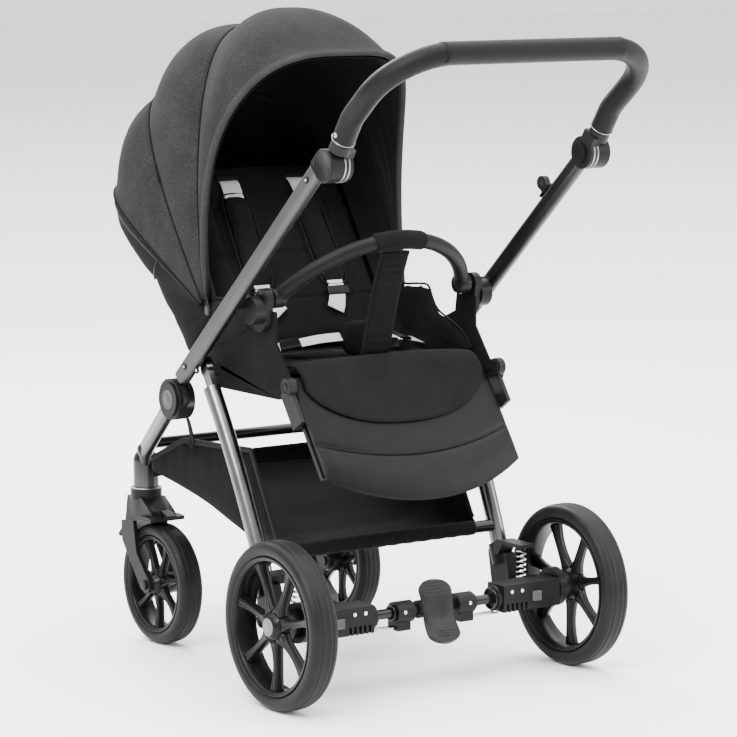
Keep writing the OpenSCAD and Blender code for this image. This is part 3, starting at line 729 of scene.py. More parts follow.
rim_rows = []
for f in np.linspace(FOOT, 180 - FOOT, 120):
    edge, back, out = rim_frame(f)
    rim_rows.append([edge + back * u / 1000 + out * v / 1000 for u, v in (
        (13, 1.6), (9, 2.3), (4, 2.4), (0.5, 2.2), (-1.8, 0.5), (-2.2, -2), (-1.6, -5),
        (0.5, -7.5), (4, -8.6), (9, -9), (13, -8.6), (13, -7.4), (5, -7), (1, -5), (1, -1),
        (5, 0.6))])
rim_binding = add_piece("canopy_rim_binding", *skin(rim_rows, round_across=True, capped=True),
                        binding, "canopy_visor")
print("the binding has", len(rim_rows), "sections")

# %% [markdown]
# ## Stitches and the tag
# A sewn line is many short threads that dip in and out of the cloth. Each stitch here is a
# tiny spindle, thick in the middle and thin at its ends, and a whole row is one piece, so
# that hundreds of them stay easy to handle. A small blank tag is sewn over the rear seam.

# %% Stitches and tag
STITCH_PARTS = ((-0.5, 0.3), (-0.3, 1), (0.3, 1), (0.5, 0.3))
STITCH_SIDES = 6


def stitches(name, path, outward, finish, body, long=0.0028, thick=0.00035, every=0.0046):
    """A row of small raised stitches along a path, as one piece."""
    places = smooth_path(path, int(sum((b - a).length for a, b in zip(path, path[1:])) / every))
    points, faces = [], []
    for i in range(len(places) - 1):
        along = (places[i + 1] - places[i]).normalized()
        up_ = Vector(outward(i / len(places)))
        side = along.cross(up_).normalized()
        base = len(points)
        rows = [[places[i] + along * (t * long) + side * u + up_ * v
                 for u, v in ring(thick * size, STITCH_SIDES)] for t, size in STITCH_PARTS]
        more, shape = skin(rows, round_across=True, capped=True)
        points += more
        faces += [tuple(base + k for k in face) for face in shape]
    return add_piece(name, points, faces, finish, body)


def rim_out(t):
    """The direction out of the rim's cloth at a share of the way round its stitching."""
    return rim_frame(FOOT + 3 + (174 - 2 * FOOT) * t)[2]


rim_stitch_path = []
for f in np.linspace(FOOT + 3, 177 - FOOT, 60):
    edge, back, out = rim_frame(f)
    rim_stitch_path.append(edge + back * 0.0105 + out * 0.0024)
rim_stitching = stitches("canopy_rim_stitching", rim_stitch_path, rim_out, black_cloth,
                         "canopy_visor")
TAG_HALF, TAG_PROUD, TAG_FALL = 0.7, 2.8, 1.2
tag_rows = [[seam_point(FAN[1] + w, f, TAG_FALL * abs(w) / TAG_HALF - TAG_PROUD)
             for f in np.linspace(147.2, 151.2, 7)]
            for w in np.linspace(-TAG_HALF, TAG_HALF, 5)]
tag = add_piece("canopy_side_tag", *skin(tag_rows), black_cloth, "canopy_middle")
tag.modifiers.new("thickness", "SOLIDIFY").thickness = 0.0012
settle(tag)
print("the rim has", len(rim_stitching.data.vertices) // (4 * STITCH_SIDES), "stitches")

# %% [markdown]
# ## The cover behind the backrest
# Behind the child a black cover closes the seat. It hangs from the zip at the last bow, goes
# down behind the backrest and tucks under the seat. As a solid it would be a box; as cloth it
# is a pouch whose reach from the canopy's hinge shrinks as it goes round. So it is lofted
# from hoops at falling fan angles, squarer at the top, softer at the bottom, with a light sag.

# %% Rear cover
COVER_ANGLES = (-80, -68, -52, -30, -8, 10, 21, 24, 27)
COVER_REACH = (84, 105, 128, 138, 158, 222, 372, 388, 403)


def cover_point(angle, turn_, inset=0.0):
    """A point on the cover's hoop at an angle below the zip."""
    reach = np.interp(angle, COVER_ANGLES, COVER_REACH) - inset
    square = np.interp(angle, (-80, 27), (7, 6))
    half = np.interp(angle, (-80, 10, 27), (183, 186, 194)) - inset
    c, s = math.cos(math.radians(turn_)), math.sin(math.radians(turn_))
    size = (abs(c) ** square + abs(s) ** square) ** (1 / square)
    a = math.radians(angle)
    r = reach * s / size
    return spot(half * c / size, CANOPY_PIVOT[0] + r * math.cos(a),
                CANOPY_PIVOT[1] + r * math.sin(a))


cover_rows = []
for angle in np.concatenate([np.linspace(27, 20, 8), np.linspace(18, -80, 26)]):
    row = []
    for k in range(73):
        f = FOOT + (180 - 2 * FOOT) * k / 72
        p = cover_point(angle, f)
        hang = math.sin(math.radians(np.interp(angle, (-80, 20), (0, 180))))
        side_on = abs(math.cos(math.radians(f))) ** 3
        ripple = math.sin(angle * 0.16 + f * 0.06) * 0.0016 * hang
        p.x -= math.copysign(0.004 * hang * side_on, p.x) * (0.6 + 0.4 * math.sin(angle * 0.2))
        p.z -= ripple
        row.append(p)
    cover_rows.append(row)
rear_cover = cloth_sheet("rear_cover_cloth", cover_rows, black_cloth, 0.0016,
                         "backrest")
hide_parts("rear_cover")
print("the cover hangs in", len(cover_rows), "hoops")

# %% [markdown]
# ## The zip
# The cover is zipped to the canopy. A zip is a tape, two rows of teeth that lock into one
# line, and a puller. The tape is a thin band that stands a little proud of the cover, the
# teeth are a row of short thick stitches, and the puller hangs on the left side.

# %% Zip and puller
ZIP_ANGLE = 25.3
tape = [[cover_point(a, f, -0.9) for f in np.linspace(FOOT + 1, 179 - FOOT, 90)]
        for a in (26.6, 25.6, 24.6, 23.8)]
zip_tape = add_piece("zip_tape", *skin(tape), lining, "backrest")
zip_tape.modifiers.new("thickness", "SOLIDIFY").thickness = 0.001
settle(zip_tape)


def zip_out(t):
    """The direction out of the zip at a share of the way round it."""
    turn_ = 4 + 172 * t
    return (cover_point(ZIP_ANGLE, turn_, -9) - cover_point(ZIP_ANGLE, turn_, 0)).normalized()


stitches("zip_teeth", [cover_point(ZIP_ANGLE, f, -1.6) for f in np.linspace(4, 176, 60)], zip_out,
         black_plastic, "backrest", 0.0022, 0.0011, 0.0032)
puller_at = cover_point(25.0, 158, -3.5)
swept("zip_puller", smooth_path([puller_at, puller_at + Vector((-0.004, 0.002, -0.012)),
                                 puller_at + Vector((-0.003, 0.004, -0.030))], 12),
      lambda t: flat_section(0.005 + 0.002 * t, 0.0016), black_plastic, "backrest", up=(-1, 0.2, 0))
print("the puller hangs at", [round(v, 3) for v in puller_at])

# %% [markdown]
# ## Padding
# Seat pads are foam in a sewn cover: crowned in the middle, drawn in at the seams.
# A modelled box with rounded corners looks like a box. So each pad starts as a plain closed
# form, is cut into even cells, and is inflated as cloth with a little pressure and no gravity.
# How far any point may move is capped, as a real cover's seams would hold it. Seams and sewn
# channels are pressed in afterwards, because the even cells would blur them.

# %% The padding tool
def block_form(low, high, place=spot, corner=0.3):
    """A closed box form between two corners in mm, with softened corners, placed by a function."""
    rows = []
    mid = [(a + b) / 2 for a, b in zip(low, high)]
    half = [(b - a) / 2 for a, b in zip(low, high)]
    for e in np.linspace(-90, 90, 13):
        row = []
        for k in range(40):
            a = math.radians(k * 9)
            ce, se = math.cos(math.radians(e)), math.sin(math.radians(e))
            direction = [ce * math.cos(a), ce * math.sin(a), se]
            size = sum(abs(d) ** (2 / corner) for d in direction) ** (corner / 2)
            row.append(place(*[m + h * d / max(size, 1e-6)
                               for m, h, d in zip(mid, half, direction)]))
        rows.append(row)
    points, faces = skin(rows, round_across=True)
    return points, faces


def plate_form(outline, x0, x1, steps=3):
    """A closed form from a side outline (y, z) in mm, between two places across."""
    rows = [[spot(x0 + (x1 - x0) * i / steps, y, z) for y, z in outline] for i in range(steps + 1)]
    return skin(rows, round_across=True, capped=True)


FOAM_FRAMES = 20


def plump(name, form, finish, cap, cell=0.006, pressure=4.0):
    """A pad: the form in even cells, inflated by its foam, and never by more than the cap."""
    pad = add_piece(name, *form, finish)
    pad.modifiers.new("cells", "REMESH").mode = "VOXEL"
    pad.modifiers["cells"].voxel_size = cell
    settle(pad)
    before = np.array([v.co for v in pad.data.vertices])
    foam = pad.modifiers.new("foam", "CLOTH")
    foam.settings.quality = 4
    foam.settings.use_pressure = True
    foam.settings.uniform_pressure_force = pressure
    foam.settings.effector_weights.gravity = 0
    foam.point_cache.frame_end = FOAM_FRAMES
    for frame_number in range(1, FOAM_FRAMES + 1):
        scene.frame_set(frame_number)
    settle(pad)
    scene.frame_set(1)
    after = np.array([v.co for v in pad.data.vertices])
    moves = after - before
    far = np.linalg.norm(moves, axis=1, keepdims=True)
    after = before + moves * np.minimum(1, cap / np.maximum(far, 1e-9))
    pad.data.vertices.foreach_set("co", after.ravel())
    pad.modifiers.new("smooth", "SUBSURF").levels = 1
    settle(pad)
    pad.data.materials.clear()
    pad.data.materials.append(finish)
    print(name, "moved up to", round(float(far.max()) * 1000, 1), "mm,", len(pad.data.vertices),
          "points")
    return pad


def press(pad, depth, width, distance):
    """Presses sewn channels into a pad: distance(point) is how far a point is from a seam, in m."""
    points = np.array([v.co for v in pad.data.vertices])
    normals = np.array([v.normal for v in pad.data.vertices])
    d = distance(points)
    points -= normals * (depth * np.exp(-(d / width) ** 2))[:, None]
    pad.data.vertices.foreach_set("co", points.ravel())
    pad.data.update()


def mirrored(pad, name):
    """The left-hand twin of a right-hand pad, as a piece of its own."""
    mesh = pad.data.copy()
    mesh.transform(Matrix.Scale(-1, 4, (1, 0, 0)))
    mesh.flip_normals()
    twin = bpy.data.objects.new(name, mesh)
    scene.collection.objects.link(twin)
    return twin


def on_plane(points, origin, angle):
    """Coordinates (across, along, above) in mm of many points on a sloping plane."""
    c, s = math.cos(math.radians(angle)), math.sin(math.radians(angle))
    y, z = points[:, 1] * 1000 - FRAME_SHIFT - origin[0], points[:, 2] * 1000 - origin[1]
    return points[:, 0] * 1000, y * c + z * s, -y * s + z * c


# %% [markdown]
# ## The seat
# The seat is a tub: a cushion between two padded wings, with a padded backrest behind.
# All of it is black, so its form shows by its seams and its soft highlights alone.
# The wings are mirror images, so one simulation makes both.

# %% Cushion
cushion = plump("seat_cushion", block_form((-172, -114, 461), (172, 40, 494), corner=0.35),
                black_cloth, 0.006)
press(cushion, 0.004, 0.004,
      lambda p: np.minimum(np.abs(p[:, 1] - 0.005), np.abs(np.abs(p[:, 0]) - 0.095)))
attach(cushion, "seat")
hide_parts("seat_cover")
print("the cushion is sewn down along two lines and across one")

# %% [markdown]
# ## The wings
# A wing is a thin upright pad that rises beside the child in a soft S. Its outline is drawn
# from the side and given a thickness, then inflated. The left wing is the twin of the right
# one, mirrored across the middle of the seat, and each has a piped top edge.

# %% Wings and their piping
WING = [(-114, 464), (-114, 503), (-98, 522), (-78, 534), (-50, 545), (-20, 558), (-6, 575),
        (6, 594),
        (30, 595), (60, 592), (88, 588), (94, 565), (97, 541), (84, 522), (79, 500), (79, 464)]
wing = plump("seat_wing_right", plate_form(WING, 176.5, 185.5), black_cloth, 0.003, 0.005)
press(wing, 0.0016, 0.003, lambda p: np.abs(p[:, 2] - 0.512 - 0.12 * (p[:, 1] - 0.04)))
wing_left = mirrored(wing, "seat_wing_left")
wing_edge = [spot(0, y, z) for y, z in WING[1:12]]
for piece, sign in ((wing, 1), (wing_left, -1)):
    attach(piece, "seat")
    top = smooth_path([p + Vector((sign * 0.181, 0, 0.0012)) for p in wing_edge], 60)
    swept(piece.name + "_piping", top, lambda t: ring(0.0019, 8), lining, "seat")
print("two wings, with piping along their tops")

# %% [markdown]
# ## The backrest
# The backrest's cushion is one broad pad with two long seams and three cross seams, which
# keep its foam in place. A soft gusset on each side closes the gap to the shell behind. It
# is cloth held at both edges, so it is made as a sheet and not as a pad.

# %% Backrest cushion and gussets
back = plump("backrest_cushion", block_form((-158, 8, -22), (158, 346, -4), on_backrest, 0.3),
             black_cloth, 0.005)


def back_seams(p):
    """How far points are from the backrest's two long seams and three cross seams."""
    across, along, _ = on_plane(p, BACKREST_HINGE, BACKREST_SLOPE)
    return np.minimum.reduce([np.abs(np.abs(across) - 112), np.abs(along - 92), np.abs(along - 262),
                              np.abs(along - 176)]) / 1000


press(back, 0.0035, 0.0035, back_seams)
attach(back, "backrest")
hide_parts("backrest_pad")

side_rows = []
for along in np.linspace(8, 350, 30):
    row = []
    for k in range(9):
        t = k / 8
        lean = 12 * math.sin(math.pi * min(1, along / 350)) * t
        reach = np.interp(along, (220, 350), (22, 9))
        row.append(on_backrest(160 + reach * t ** 0.7, along, -8 + (34 + lean) * t * t))
    side_rows.append(row)
for sign, label in SIDES:
    rows = [[Vector((sign * p.x, p.y, p.z)) for p in row] for row in side_rows]
    gusset = cloth_sheet("backrest_side_" + label, rows, black_cloth, 0.0024,
                         "backrest")

# %% [markdown]
# ## The harness
# Flat webbing is never simulated: a strap is a flat section swept along the way it lies.
# Two shoulder pads cover the straps where they cross the chest; each is a padded strip with a
# piped border. Below them the grey webbing runs to the buckle, and two lap straps join it.

# %% Shoulder pads
pad_outline = []
for a in np.linspace(0, 2 * math.pi, 40, endpoint=False):
    c, s = math.cos(a), math.sin(a)
    pad_outline.append((27 * math.copysign(abs(c) ** 0.45, c),
                        87 * math.copysign(abs(s) ** 0.3, s)))

PAD_ACROSS, PAD_MIDDLE, PAD_LEAN = 70, 197, 0.03
back_up = (on_backrest(0, 0, 10) - on_backrest(0, 0, 0)).normalized()


def on_pad(x, y, above, size=1.0, sign=1):
    """A place on a shoulder pad, which leans towards the middle as it rises."""
    return on_backrest(sign * (PAD_ACROSS + x * size - y * PAD_LEAN), PAD_MIDDLE + y * size, above)


pad_form = [[on_pad(x, y, above, size) for x, y in pad_outline]
            for above, size in ((1.5, 0.93), (4.5, 1.0), (8.0, 0.93))]
shoulder = plump("shoulder_pad_right", skin(pad_form, round_across=True, capped=True), black_cloth,
                 0.004, 0.004)


def pad_seams(p):
    """How far points are from a shoulder pad's two cross seams."""
    across, along, _ = on_plane(p, BACKREST_HINGE, BACKREST_SLOPE)
    return np.minimum(np.abs(along - 160), np.abs(along - 236)) / 1000


press(shoulder, 0.002, 0.0025, pad_seams)
shoulder_left = mirrored(shoulder, "shoulder_pad_left")
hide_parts("shoulder_harness")
for piece, sign in ((shoulder, 1), (shoulder_left, -1)):
    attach(piece, "backrest")
    border = [on_pad(x, y, 5.2, 1.01, sign) for x, y in pad_outline]
    rows = []
    for i, p in enumerate(border):
        along = (border[(i + 1) % len(border)] - border[i - 1]).normalized()
        side = along.cross(back_up)
        rows.append([p + side * u + back_up * v for u, v in ring(0.0018, 8)])
    add_piece(piece.name + "_piping", *skin(rows, round_rows=True, round_across=True), lining,
              "backrest")
print("two shoulder pads with piped borders")

# %% [markdown]
# ## Webbing and buckles
# Webbing is a flat woven band. Each strap is swept along the places it passes, and its
# buckles and adjusters are short thick bands laid across it. Over the buckle of the crotch
# strap lies a small pad, the only part of this step that is inflated.

# %% Straps, adjusters and the crotch pad

def strap(name, corners, width, thick, finish, body, up, count=30):
    """A flat strap along a smooth line."""
    piece = swept(name, smooth_path(corners, count), lambda t: flat_section(width, thick), finish,
                  body, up=up)
    length = sum((b - a).length for a, b in zip(corners, corners[1:]))
    return piece


for sign, label in SIDES:
    strap("shoulder_strap_top_" + label,
          [on_backrest(sign * 66, 314, -3), on_backrest(sign * 66, 306, 3),
           on_backrest(sign * 67, 292, 5),
           on_backrest(sign * 68, 276, 6)], 0.036, 0.0018, webbing, "backrest", back_up, 16)
    strap("shoulder_strap_low_" + label,
          [on_backrest(sign * 71, 116, 6), on_backrest(sign * 70, 100, 6),
           on_backrest(sign * 62, 78, 8),
           on_backrest(sign * 52, 62, 10)], 0.030, 0.0018, webbing, "backrest", back_up, 16)
    swept("strap_adjuster_" + label,
          smooth_path([on_backrest(sign * (71 + d), 97, 8 - abs(d) * 0.03)
                       for d in (-21, -10, 0, 10, 21)], 12),
          lambda t: flat_section(0.016, 0.005), black_plastic, "backrest", up=back_up)
    strap("lap_strap_" + label,
          [spot(sign * 166, 14, 506), spot(sign * 140, 4, 512), spot(sign * 100, -18, 521),
           spot(sign * 62, -38, 529), spot(sign * 30, -52, 532)], 0.030, 0.0018, webbing, "seat",
          (0, -0.3, 1), 26)
    swept("lap_adjuster_" + label,
          smooth_path([spot(sign * x, y, z)
                       for x, y, z in ((118, -9, 519), (104, -17, 522), (90, -24, 525))], 10),
          lambda t: flat_section(0.037, 0.006), black_plastic, "seat", up=(0, -0.3, 1))
    swept("backrest_slot_" + label,
          smooth_path([on_backrest(sign * (66 + d), 316, 0.6) for d in (-22, -8, 8, 22)], 12),
          lambda t: flat_section(0.007, 0.003), lining, "backrest", up=back_up)

crotch_pad = plump("crotch_pad", block_form((-27, -69, 502), (27, -45, 556), corner=0.4),
                   black_cloth, 0.002, 0.004)
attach(crotch_pad, "seat")
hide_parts("harness_buckle")
print("the harness has two pads, six straps and four adjusters")

# %% [markdown]
# ## The bumper bar
# The bumper bar is a bent tube wrapped in leather, with a soft sleeve round its middle where
# the child holds it, and a row of stitches underneath where the leather is sewn. It is swept
# along a round bow. The sleeve's section swells and shrinks as it goes, which gathers it.

# %% Bar and sleeve
BUMPER_HALF, BUMPER_RISE = 176, 118
bumper_radius = (BUMPER_HALF ** 2 + BUMPER_RISE ** 2) / (2 * BUMPER_RISE)
bumper_drop = bumper_radius - BUMPER_RISE
bumper_end = math.degrees(math.atan2(bumper_drop, BUMPER_HALF))
on_bumper = sloping(BUMPER_PIVOT, 132.6)


def bumper_point(turn_):
    """A point of the bumper bar's bow, at a turn in degrees."""
    a = math.radians(turn_)
    return on_bumper(bumper_radius * math.cos(a), bumper_radius * math.sin(a) - bumper_drop, 0)


bumper_up = on_bumper(0, 0, 10) - on_bumper(0, 0, 0)
bar = swept("bumper_bar_leather",
            [bumper_point(a) for a in np.linspace(bumper_end, 180 - bumper_end, 90)],
            lambda t: ring(0.0120, 28), grip_leather, "bumper", up=bumper_up)
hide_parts("bumper_bar")


def sleeve_section(t):
    """A gathered sleeve: rippled along its length and drawn in at both ends."""
    ends = math.exp(-(min(t, 1 - t) / 0.03) ** 2)
    gather = 0.00035 * math.sin(t * 95) * (0.4 + ends)
    return [(u * (1 + 0.02 * math.sin(5 * k)), v) for k, (u, v) in
            enumerate(ring(0.0152 - 0.0022 * ends + gather, 28))]


sleeve = swept("bumper_sleeve", [bumper_point(a) for a in np.linspace(76, 104, 80)], sleeve_section,
               black_cloth, "bumper", up=bumper_up)
for label, low, high in (("right", bumper_end + 4, bumper_end + 5.2),
                         ("left", 174.8 - bumper_end, 176 - bumper_end)):
    swept("bumper_band_" + label, [bumper_point(a) for a in np.linspace(low, high, 6)],
          lambda t: ring(0.0124, 28), lining, "bumper", up=bumper_up)
stitches("bumper_stitching",
         [bumper_point(a) + bumper_up.normalized() * -0.0119 for a in np.linspace(30, 150, 40)],
         lambda t: -bumper_up.normalized(), thread, "bumper")
print("the bumper bar bends on a", round(bumper_radius), "mm radius")

# %% [markdown]
# ## Turned parts
# Hubs, caps and rivets are round, so they could be turned on a lathe: a profile, given as
# radius and distance along the axis, goes round once. The same helper makes the tyres later.
# The bumper bar's two hubs and the caps of its adapters are the first parts made with it.

# %% The lathe and the bumper's hubs

def round_about(axis):
    """Two directions square to an axis."""
    a = Vector(axis).normalized()
    u = a.cross(Vector((0, 0, 1)) if abs(a.z) < 0.9 else Vector((0, 1, 0))).normalized()
    return a, u, a.cross(u)


def lathe(name, centre, axis, profile, finish, body, segments=48, closed=False):
    """A turned part about any axis. profile is (radius, along) in mm. closed joins its two ends."""
    a, u, v = round_about(axis)
    turns = [2 * math.pi * k / segments for k in range(segments)]
    rows = [[centre + (a * x + (u * math.cos(t) + v * math.sin(t)) * max(r, 0.02)) / 1000
             for t in turns] for r, x in profile]
    return add_piece(name, *skin(rows, round_rows=closed, round_across=True, capped=not closed),
                     finish, body)


def dome(radius, height, edge=0.8):
    """The profile of a button or rivet head, standing on its own flat back."""
    return [(radius, 0), (radius, height * 0.45), (radius - edge * 0.3, height * 0.75),
            (radius - edge, height * 0.92), (radius * 0.5, height), (0, height)]


for sign, label in SIDES:
    lathe("bumper_hub_" + label, spot(sign * 165.5, *BUMPER_PIVOT), (sign, 0, 0),
          [(0, 0), (11, 0), (14.4, 1.2), (15.4, 3), (15.4, 20.5), (14.8, 22), (0, 22)],
          black_plastic, "bumper")
    lathe("adapter_cap_" + label, spot(sign * 205.3, *BUMPER_PIVOT), (sign, 0, 0),
          [(15.5, -1), (16.2, 0), (15.2, 2.0), (12, 2.8), (11.4, 2.2), (0, 2.2)], black_plastic,
          "seat")
print("hubs and caps are turned")

# %% [markdown]
# ## The crotch strap
# The strap runs from the seat up to the bumper bar. It is padded cloth, gathered on a hidden
# tape, so it ripples along its length between two piped edges. It is a flat section whose
# surface rises and falls as it is swept, which gives the ripple without a simulation. It
# crosses the bumper's hinge and stays fixed, riding on neither the seat nor the bar.

# %% Crotch strap
STRAP_LINE = [spot(0, y, z)
              for y, z in ((-99, 499), (-106, 520), (-117, 560), (-131, 605), (-147, 648),
                           (-159, 674))]


def gathered_section(t):
    """A padded strap whose face ripples across its width, and lies flat at its borders."""
    hold = 0.35 + 0.65 * math.sin(math.pi * min(1, max(0, t))) ** 0.4
    section = []
    for k, (u, v) in enumerate(flat_section(0.050, 0.0085, 24)):
        across = 1 - (abs(u) / 0.025) ** 3
        ripple = 0.0012 * math.sin(t * 82 + 1.4 * math.sin(u * 190)) * across * hold
        section.append((u, v + ripple))
    return section


crotch_line = smooth_path(STRAP_LINE, 110)
crotch_strap = swept("crotch_strap_cloth", crotch_line, gathered_section, black_cloth,
                     up=(0, -1, 0.3))
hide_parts("crotch_strap")
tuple(STRAP_LINE[0])
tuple(STRAP_LINE[-1])
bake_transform(crotch_strap)
for sign, label in SIDES:
    piping = swept("crotch_strap_piping_" + label,
                   [p + Vector((sign * 0.0255, 0, 0)) for p in crotch_line],
                   lambda t: ring(0.0024, 8), lining, up=(0, -1, 0.3))
    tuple(STRAP_LINE[0])
    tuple(STRAP_LINE[-1])
    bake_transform(piping)
print("the strap spans", round((STRAP_LINE[-1] - STRAP_LINE[0]).length, 3), "m")

# %% [markdown]
# ## The apron over the footrest
# Below the seat hangs a padded apron over the footrest board: a cloth flap on top, a smooth
# leatherette panel that takes the shoes, and a padded roll along its curved lower edge.
# It is a closed quilt, so it is made as a front and a back skin that meet round the edge,
# pillowed between the seams.

# %% Apron
APRON_TOP, APRON_HALF, APRON_ROUND = 8, 184, 351.5
SEAM_AT, SEAM_DEPTH = 0.66, 3.6
APRON_LEVEL = 7.75


def apron_end(across):
    """How far down the apron reaches at a place across it, in mm."""
    return 237 - APRON_ROUND + math.sqrt(APRON_ROUND ** 2 - across ** 2)


def fullness_at(x, w):
    """How full the quilt is, from 1 in the middle to 0 at its edge."""
    return math.sqrt(max(0.0, (1 - abs(x / APRON_HALF) ** 7) * (1 - abs(2 * w - 1) ** 7)))


def roll_at(w):
    """The height in mm of the padded roll along the lower edge."""
    return 3.5 * math.exp(-((w - 0.83) / 0.10) ** 2)


def apron_grid(front, columns=64, rows=56):
    """The apron's front or back skin, as rows from its top edge to its lower one."""
    made = []
    for i in range(rows + 1):
        v = i / rows
        row = []
        for k in range(columns + 1):
            u = -1 + 2 * k / columns
            x = APRON_HALF * math.sin(u * math.pi / 2 * 0.999)
            s = APRON_TOP + (apron_end(x) - APRON_TOP) * (1 - math.cos(v * math.pi)) / 2
            w = (s - APRON_TOP) / (apron_end(x) - APRON_TOP)
            full = fullness_at(x, w)
            if front:
                seam = SEAM_DEPTH * math.exp(-((w - SEAM_AT) / 0.018) ** 2)
                soft = 0.9 * math.sin(x * 0.021 + 2 * w) * math.sin(w * 9) * full
                above = APRON_LEVEL - (7.9 + roll_at(w) - seam) * full - soft
            else:
                above = APRON_LEVEL + 7.2 * full
            row.append(on_apron(x, s, above))
        made.append(row)
    return made


front_rows, back_rows = apron_grid(True), apron_grid(False)
front_points, front_faces = skin(front_rows)
back_points, back_faces = skin(back_rows)
offset = len(front_points)
apron = add_piece("apron_leatherette", front_points + back_points,
                  front_faces + [tuple(offset + k for k in reversed(f)) for f in back_faces],
                  apron_leather)
apron.modifiers.new("close", "WELD").merge_threshold = 0.0008
settle(apron)
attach(apron, "footrest")
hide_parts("apron")
print("the apron is", 2 * APRON_HALF, "mm wide")

# %% [markdown]
# ## The apron's flap and trim
# A piped seam crosses the apron with a row of stitches beside it. The flap comes forward
# from under the cushion, turns down over the edge and lies on the leatherette. It crosses
# the footrest's hinge and stays fixed there, on no body. A loop of webbing lets a hand lift the
# footrest.

# %% Flap, piping, caps and pull loop

def apron_line(w, lift):
    """A line across the apron at a share of its height, standing a little proud."""
    line = []
    for x in np.linspace(-APRON_HALF + 3, APRON_HALF - 3, 60):
        s = APRON_TOP + (apron_end(x) - APRON_TOP) * w
        line.append(on_apron(x, s, APRON_LEVEL - (7.9 + roll_at(w)) * fullness_at(x, w) - lift))
    return line


apron_front = (on_apron(0, 0, -10) - on_apron(0, 0, 0)).normalized()
swept("apron_piping", [p - apron_front * 0.0022 for p in apron_line(SEAM_AT, 0)],
      lambda t: ring(0.0018, 8), lining,
      "footrest", up=apron_front)
stitches("apron_stitching", apron_line(0.635, -0.6), lambda t: apron_front, thread, "footrest")

FLAP_HALF, FLAP_ROWS = 168, 41
flap_columns = []
for x in np.linspace(-FLAP_HALF, FLAP_HALF, 57):
    reach = 10 + 82 * (1 - abs(x / (FLAP_HALF + 1)) ** 2.3) ** 0.55
    crown = 1 - abs(x / FLAP_HALF) ** 4
    line = [spot(x, -96, 499 + 5 * crown), spot(x, -116, 501 + 6 * crown),
            spot(x, -133, 500 + 5 * crown),
            on_apron(x, 12, -3 - 3 * crown), on_apron(x, 12 + 0.5 * reach, -2.5 - 3 * crown),
            on_apron(x, 12 + reach, -1.5 - 2 * crown)]
    flap_columns.append(smooth_path(line, FLAP_ROWS))
flap_rows = [list(row) for row in zip(*flap_columns)]
flap = cloth_sheet("apron_flap", flap_rows, flap_cloth, 0.0042)
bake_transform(flap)
swept("apron_flap_piping", flap_rows[-1], lambda t: ring(0.0019, 8), lining, "footrest",
      up=apron_front)
for sign, label in SIDES:
    lathe("footrest_cap_" + label, spot(sign * 203.8, *FOOTREST_PIVOT), (sign, 0, 0),
          [(13.6, -1), (14.2, 0.4), (13.2, 2.2), (10.5, 2.8), (10, 2.1), (4.6, 2.1), (4.2, 3.4),
           (0, 3.4)],
          black_plastic, "footrest")
loop_line = smooth_path([spot(207, y, z)
                         for y, z in ((-128, 478), (-142, 486), (-156, 478), (-156, 462),
                                      (-146, 448),
                                                      (-138, 452))], 40)
swept("pull_loop", loop_line, lambda t: flat_section(0.014, 0.0022), black_cloth, "footrest",
      up=(0, 0.3, 1))
print("apron and flap are in place")

# %% [markdown]
# ## The basket
# The basket is one piece of black cloth slung from the front tubes to the rear cross tube,
# where its hem is wrapped and stitched. It is lofted from U-shaped rows: high at the sides in
# the middle, cut down at the back for reaching in, its floor sagging a little between them.
# When the frame folds, real cloth crumples; here the basket simply rides with the rear chassis.

# %% Basket
def along_basket(y, values):
    """A height in mm at a depth y, from a table of depths and heights."""
    return float(np.interp(y, [v[0] for v in values], [v[1] for v in values]))


BASKET_TOP = ((-118, 221), (-106, 227), (-31, 361), (60, 356), (172, 351), (274, 307))
BASKET_FLOOR = ((-118, 201), (-106, 200), (24, 209), (120, 240), (276, 278))
BASKET_BACK, BASKET_LONG, BASKET_SQUARE = -118, 392, 0.24
basket_rows = []
for y in np.concatenate([np.linspace(-116, -31, 18), np.linspace(-20, 274, 34)]):
    top, floor_z = along_basket(y, BASKET_TOP), along_basket(y, BASKET_FLOOR)
    sag = 7 * math.sin(math.pi * min(1, max(0, (y - BASKET_BACK) / BASKET_LONG)))
    row = []
    for k in range(49):
        u = -1 + 2 * k / 48
        a = u * math.pi / 2
        x = 188 * math.copysign(abs(math.sin(a)) ** BASKET_SQUARE, a)
        depth_ = abs(math.cos(a)) ** 0.42
        z = top + (floor_z - sag * (1 - (x / 190) ** 2) - top) * depth_
        z += 1.1 * math.sin(x * 0.07 + y * 0.05) * depth_ * (1 - (x / 190) ** 2)
        x -= math.copysign(1.6 * math.sin(y * 0.09) * (1 - depth_), x)
        row.append(spot(x, y, z))
    basket_rows.append(row)
basket = cloth_sheet("basket_cloth", basket_rows, black_cloth, 0.0018,
                     "rear_chassis")
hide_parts("basket")
print("the basket hangs", round(along_basket(24, BASKET_FLOOR)), "mm above the floor")
